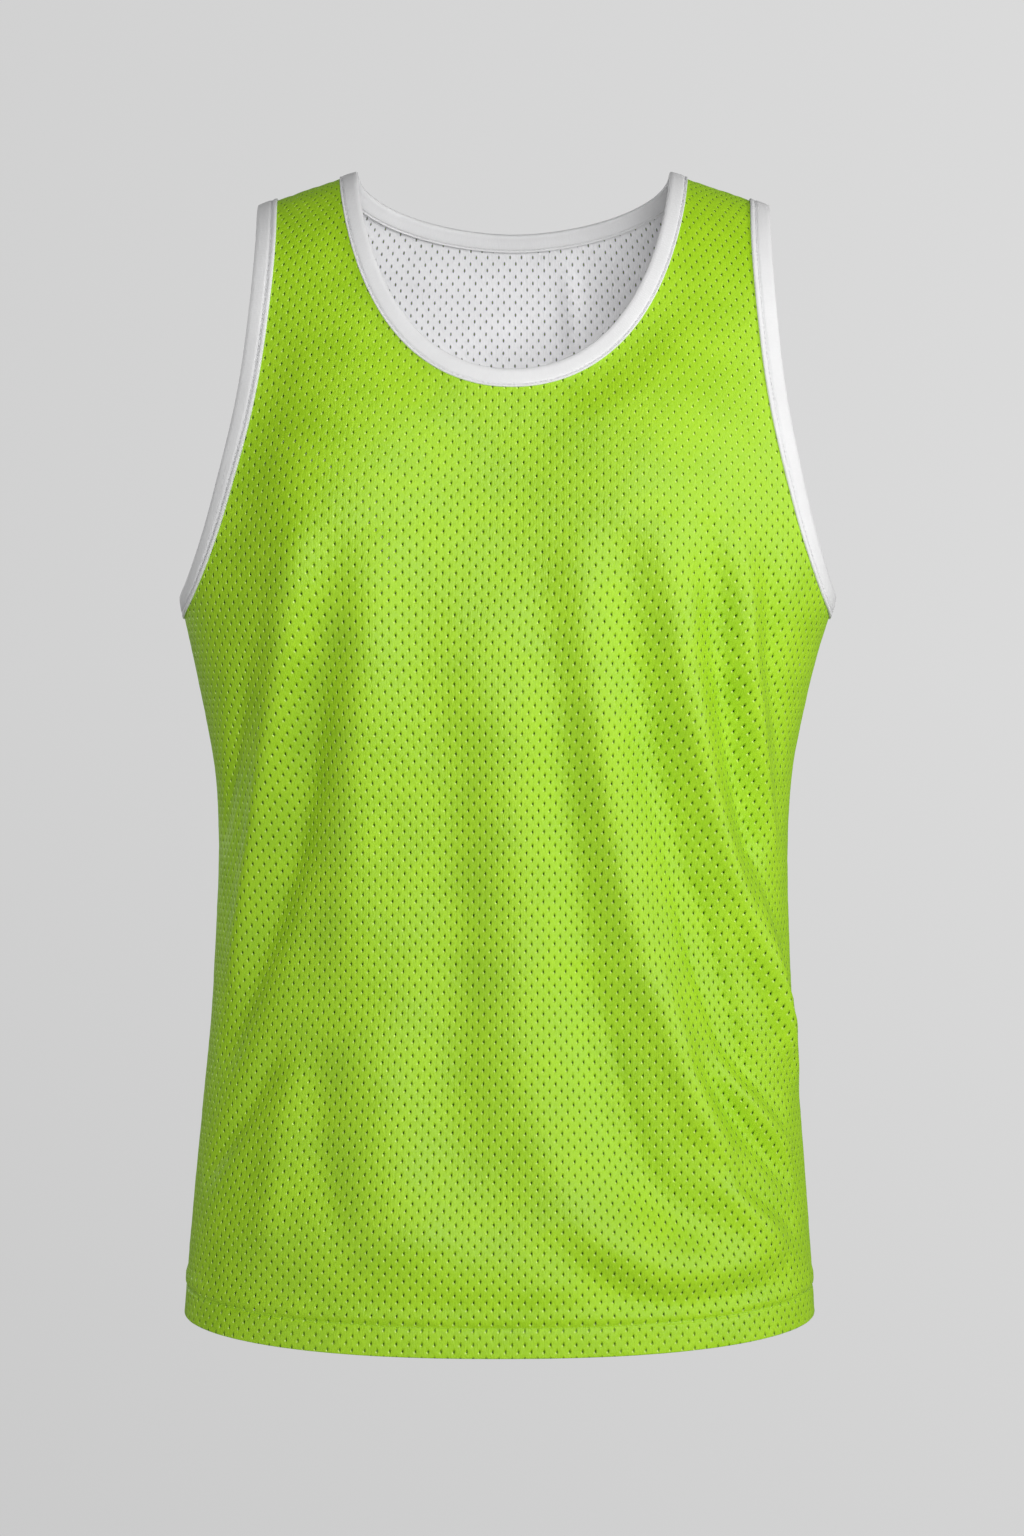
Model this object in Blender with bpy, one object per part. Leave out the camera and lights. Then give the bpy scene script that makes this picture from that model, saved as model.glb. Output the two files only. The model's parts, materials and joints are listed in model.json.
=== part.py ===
# Sleeveless basketball jersey of two mesh layers, filled out as if worn, with nobody in it.
#
# Metres. +X is right seen from the front, -Y is the front, +Z is up. The origin lies between
# the shoulders, at the height of the neck ends of the shoulder seams.
#
# A place on the cloth is an angle and a drop. The angle goes round the body, 0 at the middle
# of a panel and 90 degrees at a side seam. The drop is measured over the shoulder, 0 on the
# shoulder seam, so that it stays even where the strap lies almost level.

from collections import namedtuple
import math

import bmesh
import bpy
import numpy as np

WALL = 0.0012
LINING_WALL = 0.0010
TAPE = 0.0010
SEAM_GAP = 0.0003

FRONT = -1
BACK = 1
SIDE_SEAM = math.pi / 2

# The body, from the shoulders down: half width, depth in front and behind, how square the
# section is (2 is an ellipse), and how far it sways sideways.
Section = namedtuple("Section", "z half_width front back power sway")
SECTIONS = (
    Section(-0.760, 0.2100, 0.1240, 0.1190, 2.30, -0.0083),
    Section(-0.716, 0.2068, 0.1210, 0.1160, 2.30, -0.0080),
    Section(-0.663, 0.2025, 0.1185, 0.1120, 2.28, -0.0075),
    Section(-0.610, 0.1978, 0.1165, 0.1070, 2.25, -0.0070),
    Section(-0.557, 0.1932, 0.1150, 0.1010, 2.22, -0.0066),
    Section(-0.503, 0.1905, 0.1145, 0.0970, 2.20, -0.0063),
    Section(-0.437, 0.1892, 0.1170, 0.0970, 2.20, -0.0057),
    Section(-0.397, 0.1918, 0.1205, 0.1010, 2.20, -0.0055),
    Section(-0.357, 0.1990, 0.1250, 0.1090, 2.22, -0.0052),
    Section(-0.317, 0.2081, 0.1275, 0.1160, 2.25, -0.0045),
    Section(-0.285, 0.2164, 0.1270, 0.1190, 2.27, -0.0028),
    Section(-0.200, 0.2230, 0.1210, 0.1220, 2.25, -0.0010),
    Section(-0.100, 0.2225, 0.1060, 0.1130, 2.20, 0.0005),
    Section(0.040, 0.2215, 0.0980, 0.1000, 2.20, 0.0013),
)

# Shoulders: the seam slopes down from the neck, and the cloth curves over it.
NECK_END = 0.1045
SHOULDER_TOP = -0.0020
SHOULDER_SLOPE = 0.375
SHOULDER_EASE = 0.060
SHOULDER_ROUND = 0.050
SHOULDER_POWER = 0.52
SHOULDER_DEPTH = {FRONT: 0.290, BACK: 0.330}
SHOULDER_BLEND = 5.0

# Cut edges: neck drops at the centre, the armhole's edge seen from the front, and the hem.
NECK_DROP = {FRONT: 0.137, BACK: 0.034}
NECK_CURVE = {FRONT: 2.08, BACK: 1.80}
NECK_WAIST = {FRONT: 0.15, BACK: 0.0}
UNDERARM = -0.2848
Edge = namedtuple("Edge", "z x")
ARMHOLE = (
    Edge(-0.2848, 0.2163),
    Edge(-0.2740, 0.2102),
    Edge(-0.2600, 0.2044),
    Edge(-0.2450, 0.1992),
    Edge(-0.2050, 0.1882),
    Edge(-0.1550, 0.1771),
    Edge(-0.1000, 0.1702),
    Edge(-0.0500, 0.1672),
    Edge(0.0000, 0.1690),
)
HEM_SIDE = -0.757
HEM_DIP = {FRONT: 0.0135, BACK: 0.0110}
HEM_CURVE = 1.2

# Hem: the edge is turned up inside and stitched, which draws a groove with a soft ridge above.
HEM_ROWS = (0.0, 0.0090, 0.0175, 0.0195, 0.0260, 0.0340)
HEM_RELIEF = (0.0, 0.0002, 0.0, -0.0004, 0.0008, 0.0)
HEM_TURNED_ROWS = 3
LINING_HEM = 0.0220

NECK_TAPE_WIDTH = 0.0110
ARM_TAPE_WIDTH = 0.0125
# Faces round the tape's section that are cut along their other diagonal.
TAPE_RETURNS = (3, 7)

# Net of the panels: cells across and up each stretch. The neck edge is split where it turns
# from running up the strap to running under the throat, at an angle measured from its middle.
NECK_CELLS = {FRONT: 16, BACK: 14}
NECK_TURN = {FRONT: 50, BACK: 70}
STRAP_CELLS = 5
STRAP_ROWS = {FRONT: 6, BACK: 3}
ARMHOLE_ROWS = {FRONT: 12, BACK: 13}
BODY_ROWS = 14
LINING_ROWS = (0, 3, 6, 9, 12)
SAMPLES = 361

# Folds: a height is outwards, a negative one is a trough. The places are seen from the front
# or, on the back panel, through it. The first and last point are where the fold dies away.
# A fold of MOUND_WIDTH or more is a mound of the chest or belly, and rises more slowly.
FOLD_ARC = 0.172
FOLD_SWELL = 0.58
MOUND_WIDTH = 0.028
MOUND_SWELL = 1.5
FOLD_LIMIT = 0.0076
FADE_START = 0.010
FADE_FULL = 0.045
SEAM_FADE_START = 0.002
SEAM_FADE_FULL = 0.026

# The lining lies close behind the outer cloth at the shoulders and chest and hangs free below.
LINING_CLOSE = 0.0010
LINING_EASE = 0.0090
LINING_LEAVES = 0.150
LINING_HANGS = 0.280

Fold = namedtuple("Fold", "name height width path")
FRONT_FOLDS = (
    Fold("left_flank_trough", -0.0036, 0.011,
         ((-0.169, -0.311), (-0.176, -0.350), (-0.183, -0.396), (-0.191, -0.450))),
    Fold("left_flank_ridge", 0.0056, 0.013,
         ((-0.133, -0.241), (-0.141, -0.286), (-0.150, -0.338), (-0.161, -0.395),
          (-0.174, -0.474), (-0.186, -0.540))),
    Fold("underarm_mound", 0.0075, 0.028,
         ((-0.138, -0.170), (-0.136, -0.222), (-0.136, -0.274), (-0.145, -0.350))),
    Fold("left_trough", -0.0072, 0.015,
         ((-0.109, -0.238), (-0.114, -0.286), (-0.123, -0.337), (-0.132, -0.395),
          (-0.146, -0.467), (-0.171, -0.540), (-0.190, -0.593))),
    Fold("left_ridge", 0.0066, 0.021,
         ((-0.088, -0.242), (-0.092, -0.311), (-0.101, -0.389), (-0.104, -0.466), (-0.102, -0.542))),
    Fold("left_low_ridge", 0.0036, 0.024,
         ((-0.094, -0.548), (-0.089, -0.606), (-0.079, -0.657), (-0.057, -0.708))),
    Fold("middle_trough", -0.0047, 0.020,
         ((-0.071, -0.249), (-0.056, -0.306), (-0.042, -0.369), (-0.039, -0.452),
          (-0.037, -0.529), (-0.041, -0.599), (-0.031, -0.659), (-0.005, -0.697), (0.015, -0.726))),
    Fold("middle_ridge", 0.0053, 0.018,
         ((-0.005, -0.336), (-0.001, -0.388), (0.003, -0.464), (0.005, -0.542), (0.009, -0.606),
          (0.030, -0.659), (0.061, -0.695), (0.091, -0.719), (0.128, -0.722), (0.175, -0.709))),
    Fold("right_trough", -0.0058, 0.015,
         ((0.012, -0.248), (0.026, -0.311), (0.035, -0.400), (0.041, -0.472), (0.052, -0.543),
          (0.066, -0.612), (0.088, -0.665), (0.121, -0.696), (0.161, -0.698))),
    Fold("right_ridge", 0.0080, 0.015,
         ((0.039, -0.242), (0.049, -0.313), (0.059, -0.387), (0.071, -0.466), (0.090, -0.530),
          (0.114, -0.600), (0.131, -0.648), (0.147, -0.679), (0.181, -0.710))),
    Fold("right_deep_trough", -0.0088, 0.014,
         ((0.062, -0.235), (0.077, -0.311), (0.092, -0.389), (0.111, -0.465), (0.129, -0.532),
          (0.147, -0.584), (0.179, -0.625))),
    Fold("right_flank_ridge", 0.0098, 0.012,
         ((0.092, -0.232), (0.107, -0.311), (0.122, -0.389), (0.140, -0.460), (0.161, -0.519),
          (0.179, -0.573), (0.191, -0.611))),
    Fold("right_flank_trough", -0.0084, 0.011,
         ((0.119, -0.231), (0.132, -0.312), (0.146, -0.389), (0.159, -0.457), (0.172, -0.508))),
    Fold("flank_hollow", -0.0060, 0.014,
         ((0.117, -0.466), (0.135, -0.544), (0.156, -0.603))),
    Fold("flank_swell", 0.0080, 0.014,
         ((0.156, -0.448), (0.168, -0.520), (0.180, -0.587))),
    Fold("low_trough", -0.0050, 0.016,
         ((0.045, -0.517), (0.056, -0.568), (0.072, -0.626), (0.094, -0.671), (0.132, -0.694))),
    Fold("low_ridge", 0.0052, 0.016,
         ((0.087, -0.517), (0.103, -0.569), (0.125, -0.628), (0.146, -0.671), (0.179, -0.699))),
    Fold("lower_swoosh", -0.0066, 0.013,
         ((0.021, -0.691), (0.056, -0.724), (0.102, -0.742), (0.144, -0.738), (0.182, -0.723))),
    Fold("left_drag_trough", -0.0040, 0.011,
         ((-0.149, -0.570), (-0.162, -0.596), (-0.179, -0.628), (-0.202, -0.666))),
    Fold("lower_left_ridge", 0.0030, 0.014,
         ((-0.139, -0.581), (-0.151, -0.634), (-0.157, -0.673), (-0.152, -0.714))),
    Fold("lower_left_trough", -0.0026, 0.012,
         ((-0.122, -0.569), (-0.124, -0.614), (-0.121, -0.652), (-0.110, -0.687), (-0.100, -0.722))),
    Fold("chest_hollow", -0.0070, 0.036,
         ((-0.008, -0.112), (-0.012, -0.202), (0.003, -0.325))),
    Fold("left_chest", 0.0095, 0.048,
         ((-0.104, -0.073), (-0.105, -0.196), (-0.104, -0.338))),
    Fold("right_chest", 0.0110, 0.052,
         ((0.099, -0.078), (0.089, -0.203), (0.069, -0.337))),
    Fold("lower_belly", 0.0070, 0.032,
         ((-0.213, -0.699), (-0.117, -0.691), (0.006, -0.709), (0.108, -0.711), (0.198, -0.707))),
)
BACK_FOLDS = (
    Fold("blade_right", 0.0030, 0.032,
         ((0.080, -0.10), (0.086, -0.16), (0.080, -0.23))),
    Fold("blade_left", 0.0030, 0.032,
         ((-0.076, -0.10), (-0.084, -0.16), (-0.080, -0.23))),
    Fold("spine_hollow", -0.0040, 0.030,
         ((0.004, -0.14), (0.002, -0.24), (0.000, -0.36), (-0.004, -0.46))),
    Fold("small_back_trough", -0.0060, 0.018,
         ((-0.040, -0.28), (-0.052, -0.38), (-0.064, -0.49), (-0.060, -0.60), (-0.070, -0.70))),
    Fold("small_back_ridge", 0.0055, 0.020,
         ((-0.014, -0.30), (-0.022, -0.40), (-0.030, -0.52), (-0.022, -0.62), (-0.030, -0.71))),
    Fold("seat_ridge", 0.0055, 0.022,
         ((0.040, -0.31), (0.034, -0.41), (0.036, -0.52), (0.050, -0.62), (0.046, -0.71))),
    Fold("seat_trough", -0.0060, 0.018,
         ((0.066, -0.26), (0.066, -0.36), (0.070, -0.47), (0.088, -0.58), (0.090, -0.69))),
    Fold("left_waist_ridge", 0.0050, 0.016,
         ((-0.082, -0.25), (-0.092, -0.34), (-0.102, -0.45), (-0.104, -0.56))),
    Fold("left_waist_trough", -0.0055, 0.015,
         ((-0.110, -0.24), (-0.126, -0.34), (-0.138, -0.45), (-0.142, -0.57), (-0.150, -0.66))),
    Fold("right_waist_ridge", 0.0050, 0.016,
         ((0.096, -0.24), (0.108, -0.35), (0.116, -0.46), (0.130, -0.58), (0.126, -0.67))),
    Fold("right_waist_trough", -0.0055, 0.015,
         ((0.124, -0.23), (0.142, -0.33), (0.150, -0.44), (0.164, -0.55))),
    Fold("left_drag", -0.0040, 0.013,
         ((-0.180, -0.60), (-0.148, -0.65), (-0.112, -0.67))),
    Fold("right_drag", 0.0040, 0.013,
         ((0.186, -0.62), (0.158, -0.67), (0.126, -0.70))),
)
FOLDS = {FRONT: FRONT_FOLDS, BACK: BACK_FOLDS}

LIME = (0.33, 0.72, 0.02, 1.0)
WHITE = (0.86, 0.86, 0.87, 1.0)


def smooth_row(table, field, z):
    """Read one column of a table at the heights z, on a smooth curve through its rows."""
    knots = np.array([row.z for row in table])
    values = np.array([getattr(row, field) for row in table])
    slopes = np.gradient(values, knots)
    z = np.clip(z, knots[0], knots[-1])
    row = np.clip(np.searchsorted(knots, z) - 1, 0, len(knots) - 2)
    step = knots[row + 1] - knots[row]
    t = (z - knots[row]) / step
    start = (1 + 2 * t) * (1 - t) ** 2 * values[row] + t * (1 - t) ** 2 * step * slopes[row]
    end = t * t * (3 - 2 * t) * values[row + 1] - t * t * (1 - t) * step * slopes[row + 1]
    return start + end


def section(field, z):
    return smooth_row(SECTIONS, field, z)


def fade(value, start, full):
    t = np.clip((value - start) / (full - start), 0.0, 1.0)
    return t * t * (3 - 2 * t)


def shoulder_height(angle):
    top = SECTIONS[-1]
    across = top.half_width * np.abs(np.sin(angle)) ** (2 / top.power)
    run = np.hypot(across, SHOULDER_EASE) - math.hypot(NECK_END, SHOULDER_EASE)
    return SHOULDER_TOP - SHOULDER_SLOPE * run


def height_of(angle, drop):
    return shoulder_height(angle) - np.hypot(drop, SHOULDER_ROUND) + SHOULDER_ROUND


def drop_of(angle, z):
    below = np.maximum(shoulder_height(angle) - z, 0.0)
    return np.sqrt((below + SHOULDER_ROUND) ** 2 - SHOULDER_ROUND ** 2)


def angle_of(x, z):
    """Angle of the cloth that stands at x, seen from the front, at the height z."""
    share = np.clip(np.abs(x) / section("half_width", z), 0.0, 1.0)
    return np.sign(x) * np.arcsin(share ** (section("power", z) / 2))


def surface(side, angle, drop):
    """The outer face of the cloth, without folds, as points."""
    z = height_of(angle, drop)
    power = 2 / section("power", z)
    sine = np.sin(angle)
    x = section("half_width", z) * np.sign(sine) * np.abs(sine) ** power
    depth = section("front" if side == FRONT else "back", z)
    body = np.maximum(depth * np.abs(np.cos(angle)) ** power, 1e-6)
    below = np.hypot(drop, SHOULDER_ROUND) - SHOULDER_ROUND
    arch = np.maximum(SHOULDER_DEPTH[side] * below ** SHOULDER_POWER, 1e-6)
    y = (body ** -SHOULDER_BLEND + arch ** -SHOULDER_BLEND) ** (-1 / SHOULDER_BLEND)
    y = np.maximum(y, SEAM_GAP / 2)
    return np.stack([x + section("sway", z), side * y, z], axis=-1)


def unit(vectors):
    return vectors / np.linalg.norm(vectors, axis=-1, keepdims=True)


def tangents(side, angle, drop):
    """How the surface runs for one radian of angle and one metre of drop."""
    turn = 0.01
    slide = 0.001
    low = np.clip(angle - turn, -SIDE_SEAM, SIDE_SEAM)
    high = np.clip(angle + turn, -SIDE_SEAM, SIDE_SEAM)
    above = np.maximum(drop - slide, 0.0)
    across = surface(side, high, drop) - surface(side, low, drop)
    down = surface(side, angle, drop + slide) - surface(side, angle, above)
    return across / (high - low)[..., None], down / (drop + slide - above)[..., None]


def normals(side, angle, drop):
    """Outward normals. On a seam they stay in the seam's plane, so that both edges are plumb."""
    across, down = tangents(side, angle, drop)
    normal = unit(np.cross(across, down)) * side
    seam = (np.abs(angle) > SIDE_SEAM - 1e-6) | (drop < 1e-6)
    normal[..., 1] = np.where(seam, 0.0, normal[..., 1])
    return unit(normal)


def spaced(side, line, partner, cells):
    """Split a line into cells of equal length on the cloth, and its partner beside it."""
    points = surface(side, line[:, 0], line[:, 1])
    length = np.append(0.0, np.cumsum(np.linalg.norm(np.diff(points, axis=0), axis=1)))
    even = np.linspace(0.0, length[-1], cells + 1)
    both = np.concatenate([line, partner], axis=1)
    both = np.stack([np.interp(even, length, column) for column in both.T], axis=1)
    return both[:, :2], both[:, 2:]


def inset(side, line, width):
    """Move a line on the cloth sideways by a width: inwards, or outwards if it is negative."""
    steps = 4
    for _ in range(steps):
        angle, drop = line.T
        along = unit(np.gradient(surface(side, angle, drop), axis=0))
        inward = np.cross(along, normals(side, angle, drop)) * side * width / steps
        frames = np.stack(tangents(side, angle, drop), axis=-1)
        moves = [np.linalg.lstsq(f, move, rcond=None)[0] for f, move in zip(frames, inward)]
        angle, drop = (line + np.array(moves)).T
        line = np.stack([np.clip(angle, -SIDE_SEAM, SIDE_SEAM), np.maximum(drop, 0.0)], axis=1)
    return line


def neck_line(side):
    """Half the cut edge of the neck, from the middle out to the shoulder seam."""
    turn = np.linspace(0.0, math.pi / 2, SAMPLES)
    power = 2 / NECK_CURVE[side]
    deep = np.abs(np.cos(turn)) ** power
    x = NECK_END * np.sin(turn) ** power * (1 - NECK_WAIST[side] * deep * (1 - deep))
    z = SHOULDER_TOP - NECK_DROP[side] * deep
    angle = angle_of(x, z)
    drop = drop_of(angle, z + shoulder_height(angle[-1]) - SHOULDER_TOP)
    drop[-1] = 0.0
    return np.stack([angle, drop], axis=1)


def armhole_line():
    """The cut edge of the armhole, from the side seam up to the shoulder seam."""
    share = (1 - np.cos(np.linspace(0.0, math.pi, SAMPLES))) / 2
    fit = section("half_width", UNDERARM) / ARMHOLE[0].x
    tip = 0.0
    for _ in range(6):
        z = UNDERARM + (tip - UNDERARM) * share
        angle = angle_of(smooth_row(ARMHOLE, "x", z) * fit, z)
        tip = shoulder_height(angle[-1])
    angle[0] = SIDE_SEAM
    drop = drop_of(angle, z)
    drop[-1] = 0.0
    return np.stack([angle, drop], axis=1)


def straight(start, end, cells):
    share = np.linspace(0.0, 1.0, cells + 1)[:, None]
    return start * (1 - share) + end * share


def chain(*lines):
    """Join lines end to end, each starting where the last one stopped."""
    return np.concatenate([lines[0]] + [line[1:] for line in lines[1:]])


def mirrored(line):
    return line * (-1, 1)


def fill(bottom, top, left, right):
    """Fill a four-sided stretch of cloth with a net between its border lines."""
    up = ((left[:, 1] - left[0, 1]) / (left[-1, 1] - left[0, 1]))[:, None, None]
    across = np.linspace(0.0, 1.0, len(bottom))[None, :, None]
    rows = (1 - across) * left[:, None] + across * right[:, None]
    columns = (1 - up) * bottom[None] + up * top[None]
    left_corners = (1 - up) * left[0] + up * left[-1]
    right_corners = (1 - up) * right[0] + up * right[-1]
    return rows + columns - (1 - across) * left_corners - across * right_corners


def hem_row(side, columns, distance):
    angles = np.linspace(-SIDE_SEAM, SIDE_SEAM, columns + 1)
    z = HEM_SIDE - HEM_DIP[side] * np.abs(np.cos(angles)) ** HEM_CURVE + distance
    return np.stack([angles, drop_of(angles, z)], axis=1)


def bound_edge(side, line, width, split, cells):
    """A cut edge and the line where its tape ends, both in two runs that meet at the split."""
    inner = inset(side, line, width)
    inner[-1, 1] = 0.0
    inner[0, 0] = line[0, 0]
    runs = [slice(0, split + 1), slice(split, len(line))]
    pairs = [spaced(side, line[run], inner[run], count) for run, count in zip(runs, cells)]
    return [pair[0] for pair in pairs], [pair[1] for pair in pairs]


Net = namedtuple("Net", "hem body straps neck neck_inset arm arm_inset")


def cut_panel(side):
    """The net of one panel. Its lines and stretches hold places as (angle, drop)."""
    columns = NECK_CELLS[side] + 2 * STRAP_CELLS
    split = round(NECK_TURN[side] / 90 * (SAMPLES - 1))
    neck_counts = (NECK_CELLS[side] // 2, STRAP_ROWS[side])
    neck, neck_inset = bound_edge(side, neck_line(side), -NECK_TAPE_WIDTH, split, neck_counts)
    armhole = armhole_line()
    split = int(np.argmin(np.abs(armhole[:, 1] - neck[1][0, 1])))
    arm_counts = (ARMHOLE_ROWS[side], STRAP_ROWS[side])
    arm, arm_inset = bound_edge(side, armhole, ARM_TAPE_WIDTH, split, arm_counts)

    hem = np.array([hem_row(side, columns, distance) for distance in HEM_ROWS])
    flank = straight(hem[-1, -1], arm_inset[0][0], BODY_ROWS)
    right = chain(flank, arm_inset[0])
    shelf = straight(neck_inset[1][0], arm_inset[1][0], STRAP_CELLS)
    half_top = chain(neck_inset[0], shelf)
    top = chain(mirrored(half_top)[::-1], half_top)
    body = fill(hem[-1], top, mirrored(right), right)
    shoulder = straight(neck_inset[1][-1], arm_inset[1][-1], STRAP_CELLS)
    strap = fill(shelf, shoulder, neck_inset[1], arm_inset[1])
    edges = [chain(*runs) for runs in (neck, neck_inset, arm, arm_inset)]
    return Net(hem, body, (strap, mirrored(strap)), *edges)


def strips(side, net):
    """The strips under the tapes. Each has the inset line first, in its tape's own order."""
    neck = np.stack([chain(mirrored(line)[::-1], line) for line in (net.neck_inset, net.neck)])
    arm = np.stack([net.arm_inset, net.arm])
    return [strip[:, ::-side] for strip in (neck, arm, mirrored(arm))]


def distance_to(points, lines):
    marks = np.concatenate(lines)
    nearest = [np.linalg.norm(marks - point, axis=1).min() for point in points.reshape(-1, 3)]
    return np.array(nearest).reshape(points.shape[:-1])


def edge_lines(side, net):
    """Points along the cut edges: neck and armholes, hem, and side seams."""
    cut = [surface(side, *line.T) for line in (net.neck, mirrored(net.neck))]
    cut += [surface(side, *line.T) for line in (net.arm, mirrored(net.arm))]
    hem = [surface(side, *net.hem[0].T)]
    seams = [surface(side, *column.T) for column in (net.body[:, 0], net.body[:, -1])]
    return cut, hem, seams


def fold_path(fold):
    """A fold's path, rounded, as arc round the body and height."""
    x, z = np.array(fold.path).T
    arc = FOLD_ARC * angle_of(x - section("sway", z), z)
    for _ in range(3):
        knots = np.stack([arc, z], axis=1)
        early = knots[:-1] * 0.75 + knots[1:] * 0.25
        late = knots[:-1] * 0.25 + knots[1:] * 0.75
        cut = np.stack([early, late], axis=1).reshape(-1, 2)
        arc, z = np.concatenate([knots[:1], cut, knots[-1:]]).T
    return np.stack([arc, z], axis=1)


def fold_height(side, angle, z):
    """How far the folds stand out from the plain surface."""
    here = np.stack([FOLD_ARC * angle, z], axis=-1)
    total = np.zeros(angle.shape)
    for fold in FOLDS[side]:
        path = fold_path(fold)
        steps = np.diff(path, axis=0)
        lengths = np.linalg.norm(steps, axis=1)
        along = np.append(0.0, np.cumsum(lengths)) / lengths.sum()
        away = np.full(angle.shape, np.inf)
        place = np.zeros(angle.shape)
        for k, (step, length) in enumerate(zip(steps, lengths)):
            share = np.clip(((here - path[k]) @ step) / length ** 2, 0.0, 1.0)
            gap = np.linalg.norm(here - path[k] - share[..., None] * step, axis=-1)
            place = np.where(gap < away, along[k] + share * (along[k + 1] - along[k]), place)
            away = np.minimum(gap, away)
        power = FOLD_SWELL if fold.width < MOUND_WIDTH else MOUND_SWELL
        swell = np.sin(math.pi * np.clip(place, 0.0, 1.0)) ** power
        total += fold.height * swell * np.exp(-(away / fold.width) ** 2)
    return np.maximum(total, -FOLD_LIMIT)


def lay(side, net, places, relief=0.0, wall=WALL, lines=False):
    """The two faces of a stretch of cloth, as nets of points. A lining hangs behind it."""
    angle, drop = places[..., 0], places[..., 1]
    points = surface(side, angle, drop)
    normal = normals(side, angle, drop)
    cut, hem, seams = edge_lines(side, net)
    height = fold_height(side, angle, points[..., 2])
    height = height * fade(distance_to(points, cut + hem), FADE_START, FADE_FULL)
    height = height * fade(distance_to(points, seams), SEAM_FADE_START, SEAM_FADE_FULL) + relief
    if lines:
        open_cloth = fade(distance_to(points, cut + hem), FADE_START, FADE_FULL)
        free = fade(-points[..., 2], LINING_LEAVES, LINING_HANGS)
        height = (height - LINING_CLOSE * open_cloth) * (1 - free) - LINING_EASE * open_cloth * free
        height = height - WALL - SEAM_GAP
    outer = points + normal * np.asarray(height)[..., None]
    inner = outer - normal * (np.ones(angle.shape) * wall)[..., None]
    return outer, inner


def triangle_pair(bm, a, b, c, d):
    for corners in ((a, b, c), (a, c, d)):
        if len(set(corners)) == 3:
            bm.faces.new(corners)


def finished(name, bm, material):
    bmesh.ops.recalc_face_normals(bm, faces=bm.faces)
    mesh = bpy.data.meshes.new(name)
    bm.to_mesh(mesh)
    bm.free()
    mesh.shade_smooth()
    mesh.set_sharp_from_angle(angle=math.radians(50))
    mesh.materials.append(material)
    return bpy.data.objects.new(name, mesh)


def cloth_wall(name, stretches, material):
    """Close one cloth piece: its outer face, its inner face, and the cut edge between them."""
    bm = bmesh.new()
    pairs = {}

    def pair_at(outer, inner):
        key = tuple(np.round(outer, 6))
        if key not in pairs:
            pairs[key] = (bm.verts.new(outer), bm.verts.new(inner))
        return pairs[key]

    uses = {}
    for outer, inner in stretches:
        rows, columns = outer.shape[:2]
        grid = [[pair_at(outer[r, c], inner[r, c]) for c in range(columns)] for r in range(rows)]
        for r in range(rows - 1):
            for c in range(columns - 1):
                ring = (grid[r][c], grid[r][c + 1], grid[r + 1][c + 1], grid[r + 1][c])
                triangle_pair(bm, *[pair[0] for pair in ring])
                triangle_pair(bm, *[pair[1] for pair in ring])
                for a, b in zip(ring, ring[1:] + ring[:1]):
                    key = frozenset((a, b))
                    uses[key] = uses.get(key, 0) + 1
    for key, count in uses.items():
        if count == 1 and len(key) == 2:
            a, b = key
            triangle_pair(bm, a[0], b[0], b[1], a[1])
    return finished(name, bm, material)


def tape_section(edge, inner, edge_normal, inner_normal):
    """One section of a tape folded over a cut edge, with a small gap to the cloth inside it."""
    width = np.linalg.norm(inner - edge)
    inward = (inner - edge) / width
    share = 1 - SEAM_GAP / width
    end = edge + (inner - edge) * share
    end_normal = unit(edge_normal + (inner_normal - edge_normal) * share)
    near = SEAM_GAP
    far = SEAM_GAP + TAPE
    back = -WALL
    ring = [end + end_normal * far]
    for degrees in (90, 0, -90):
        turn = math.radians(degrees)
        rise = back / 2 + (far - back / 2) * math.sin(turn)
        ring.append(edge + edge_normal * rise - inward * far * math.cos(turn))
    ring += [end + end_normal * (back - far), end + end_normal * (back - near)]
    ring += [edge + edge_normal * (back - near) - inward * near]
    ring += [edge + edge_normal * near - inward * near, end + end_normal * near]
    return ring


def tape_loop(name, halves, material):
    """A tape round a whole opening, made from the points of the two panels it binds."""
    lines = [[surface(side, *strip[k].T) for k in (1, 0)] for side, strip in halves]
    tilts = [[normals(side, *strip[k].T) for k in (1, 0)] for side, strip in halves]
    front, back = ([*lines[k], *tilts[k]] for k in (0, 1))
    joints = [[(a[row] + b[-1 - row]) / 2 for a, b in zip(front, back)] for row in (0, -1)]
    sections = [tape_section(*joints[0])]
    sections += [tape_section(*row) for row in zip(*[field[1:-1] for field in front])]
    sections += [tape_section(*joints[1])]
    sections += [tape_section(*row) for row in zip(*[field[1:-1] for field in back])]

    bm = bmesh.new()
    rings = [[bm.verts.new(point) for point in ring] for ring in sections]
    corners = len(rings[0])
    for here, there in zip(rings, rings[1:] + rings[:1]):
        for k in range(corners):
            after = (k + 1) % corners
            if k in TAPE_RETURNS:
                triangle_pair(bm, here[after], there[after], there[k], here[k])
            else:
                triangle_pair(bm, here[k], there[k], there[after], here[after])
    return finished(name, bm, material)


def cloth_material(name, colour, roughness):
    material = bpy.data.materials.new(name)
    material.use_nodes = True
    shader = material.node_tree.nodes["Principled BSDF"]
    shader.inputs["Base Color"].default_value = colour
    shader.inputs["Roughness"].default_value = roughness
    shader.inputs["Metallic"].default_value = 0.0
    return material


def panel(name, side, net):
    relief = np.array(HEM_RELIEF)[:, None]
    turned = np.array([2 * WALL] * HEM_TURNED_ROWS + [WALL] * (len(HEM_ROWS) - HEM_TURNED_ROWS))
    stretches = [lay(side, net, net.hem, relief, turned[:, None]), lay(side, net, net.body)]
    stretches += [lay(side, net, strap) for strap in net.straps]
    stretches += [lay(side, net, strip) for strip in strips(side, net)]
    return cloth_wall(name, stretches, cloth_material(name + "_cloth", LIME, 0.55))


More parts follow.
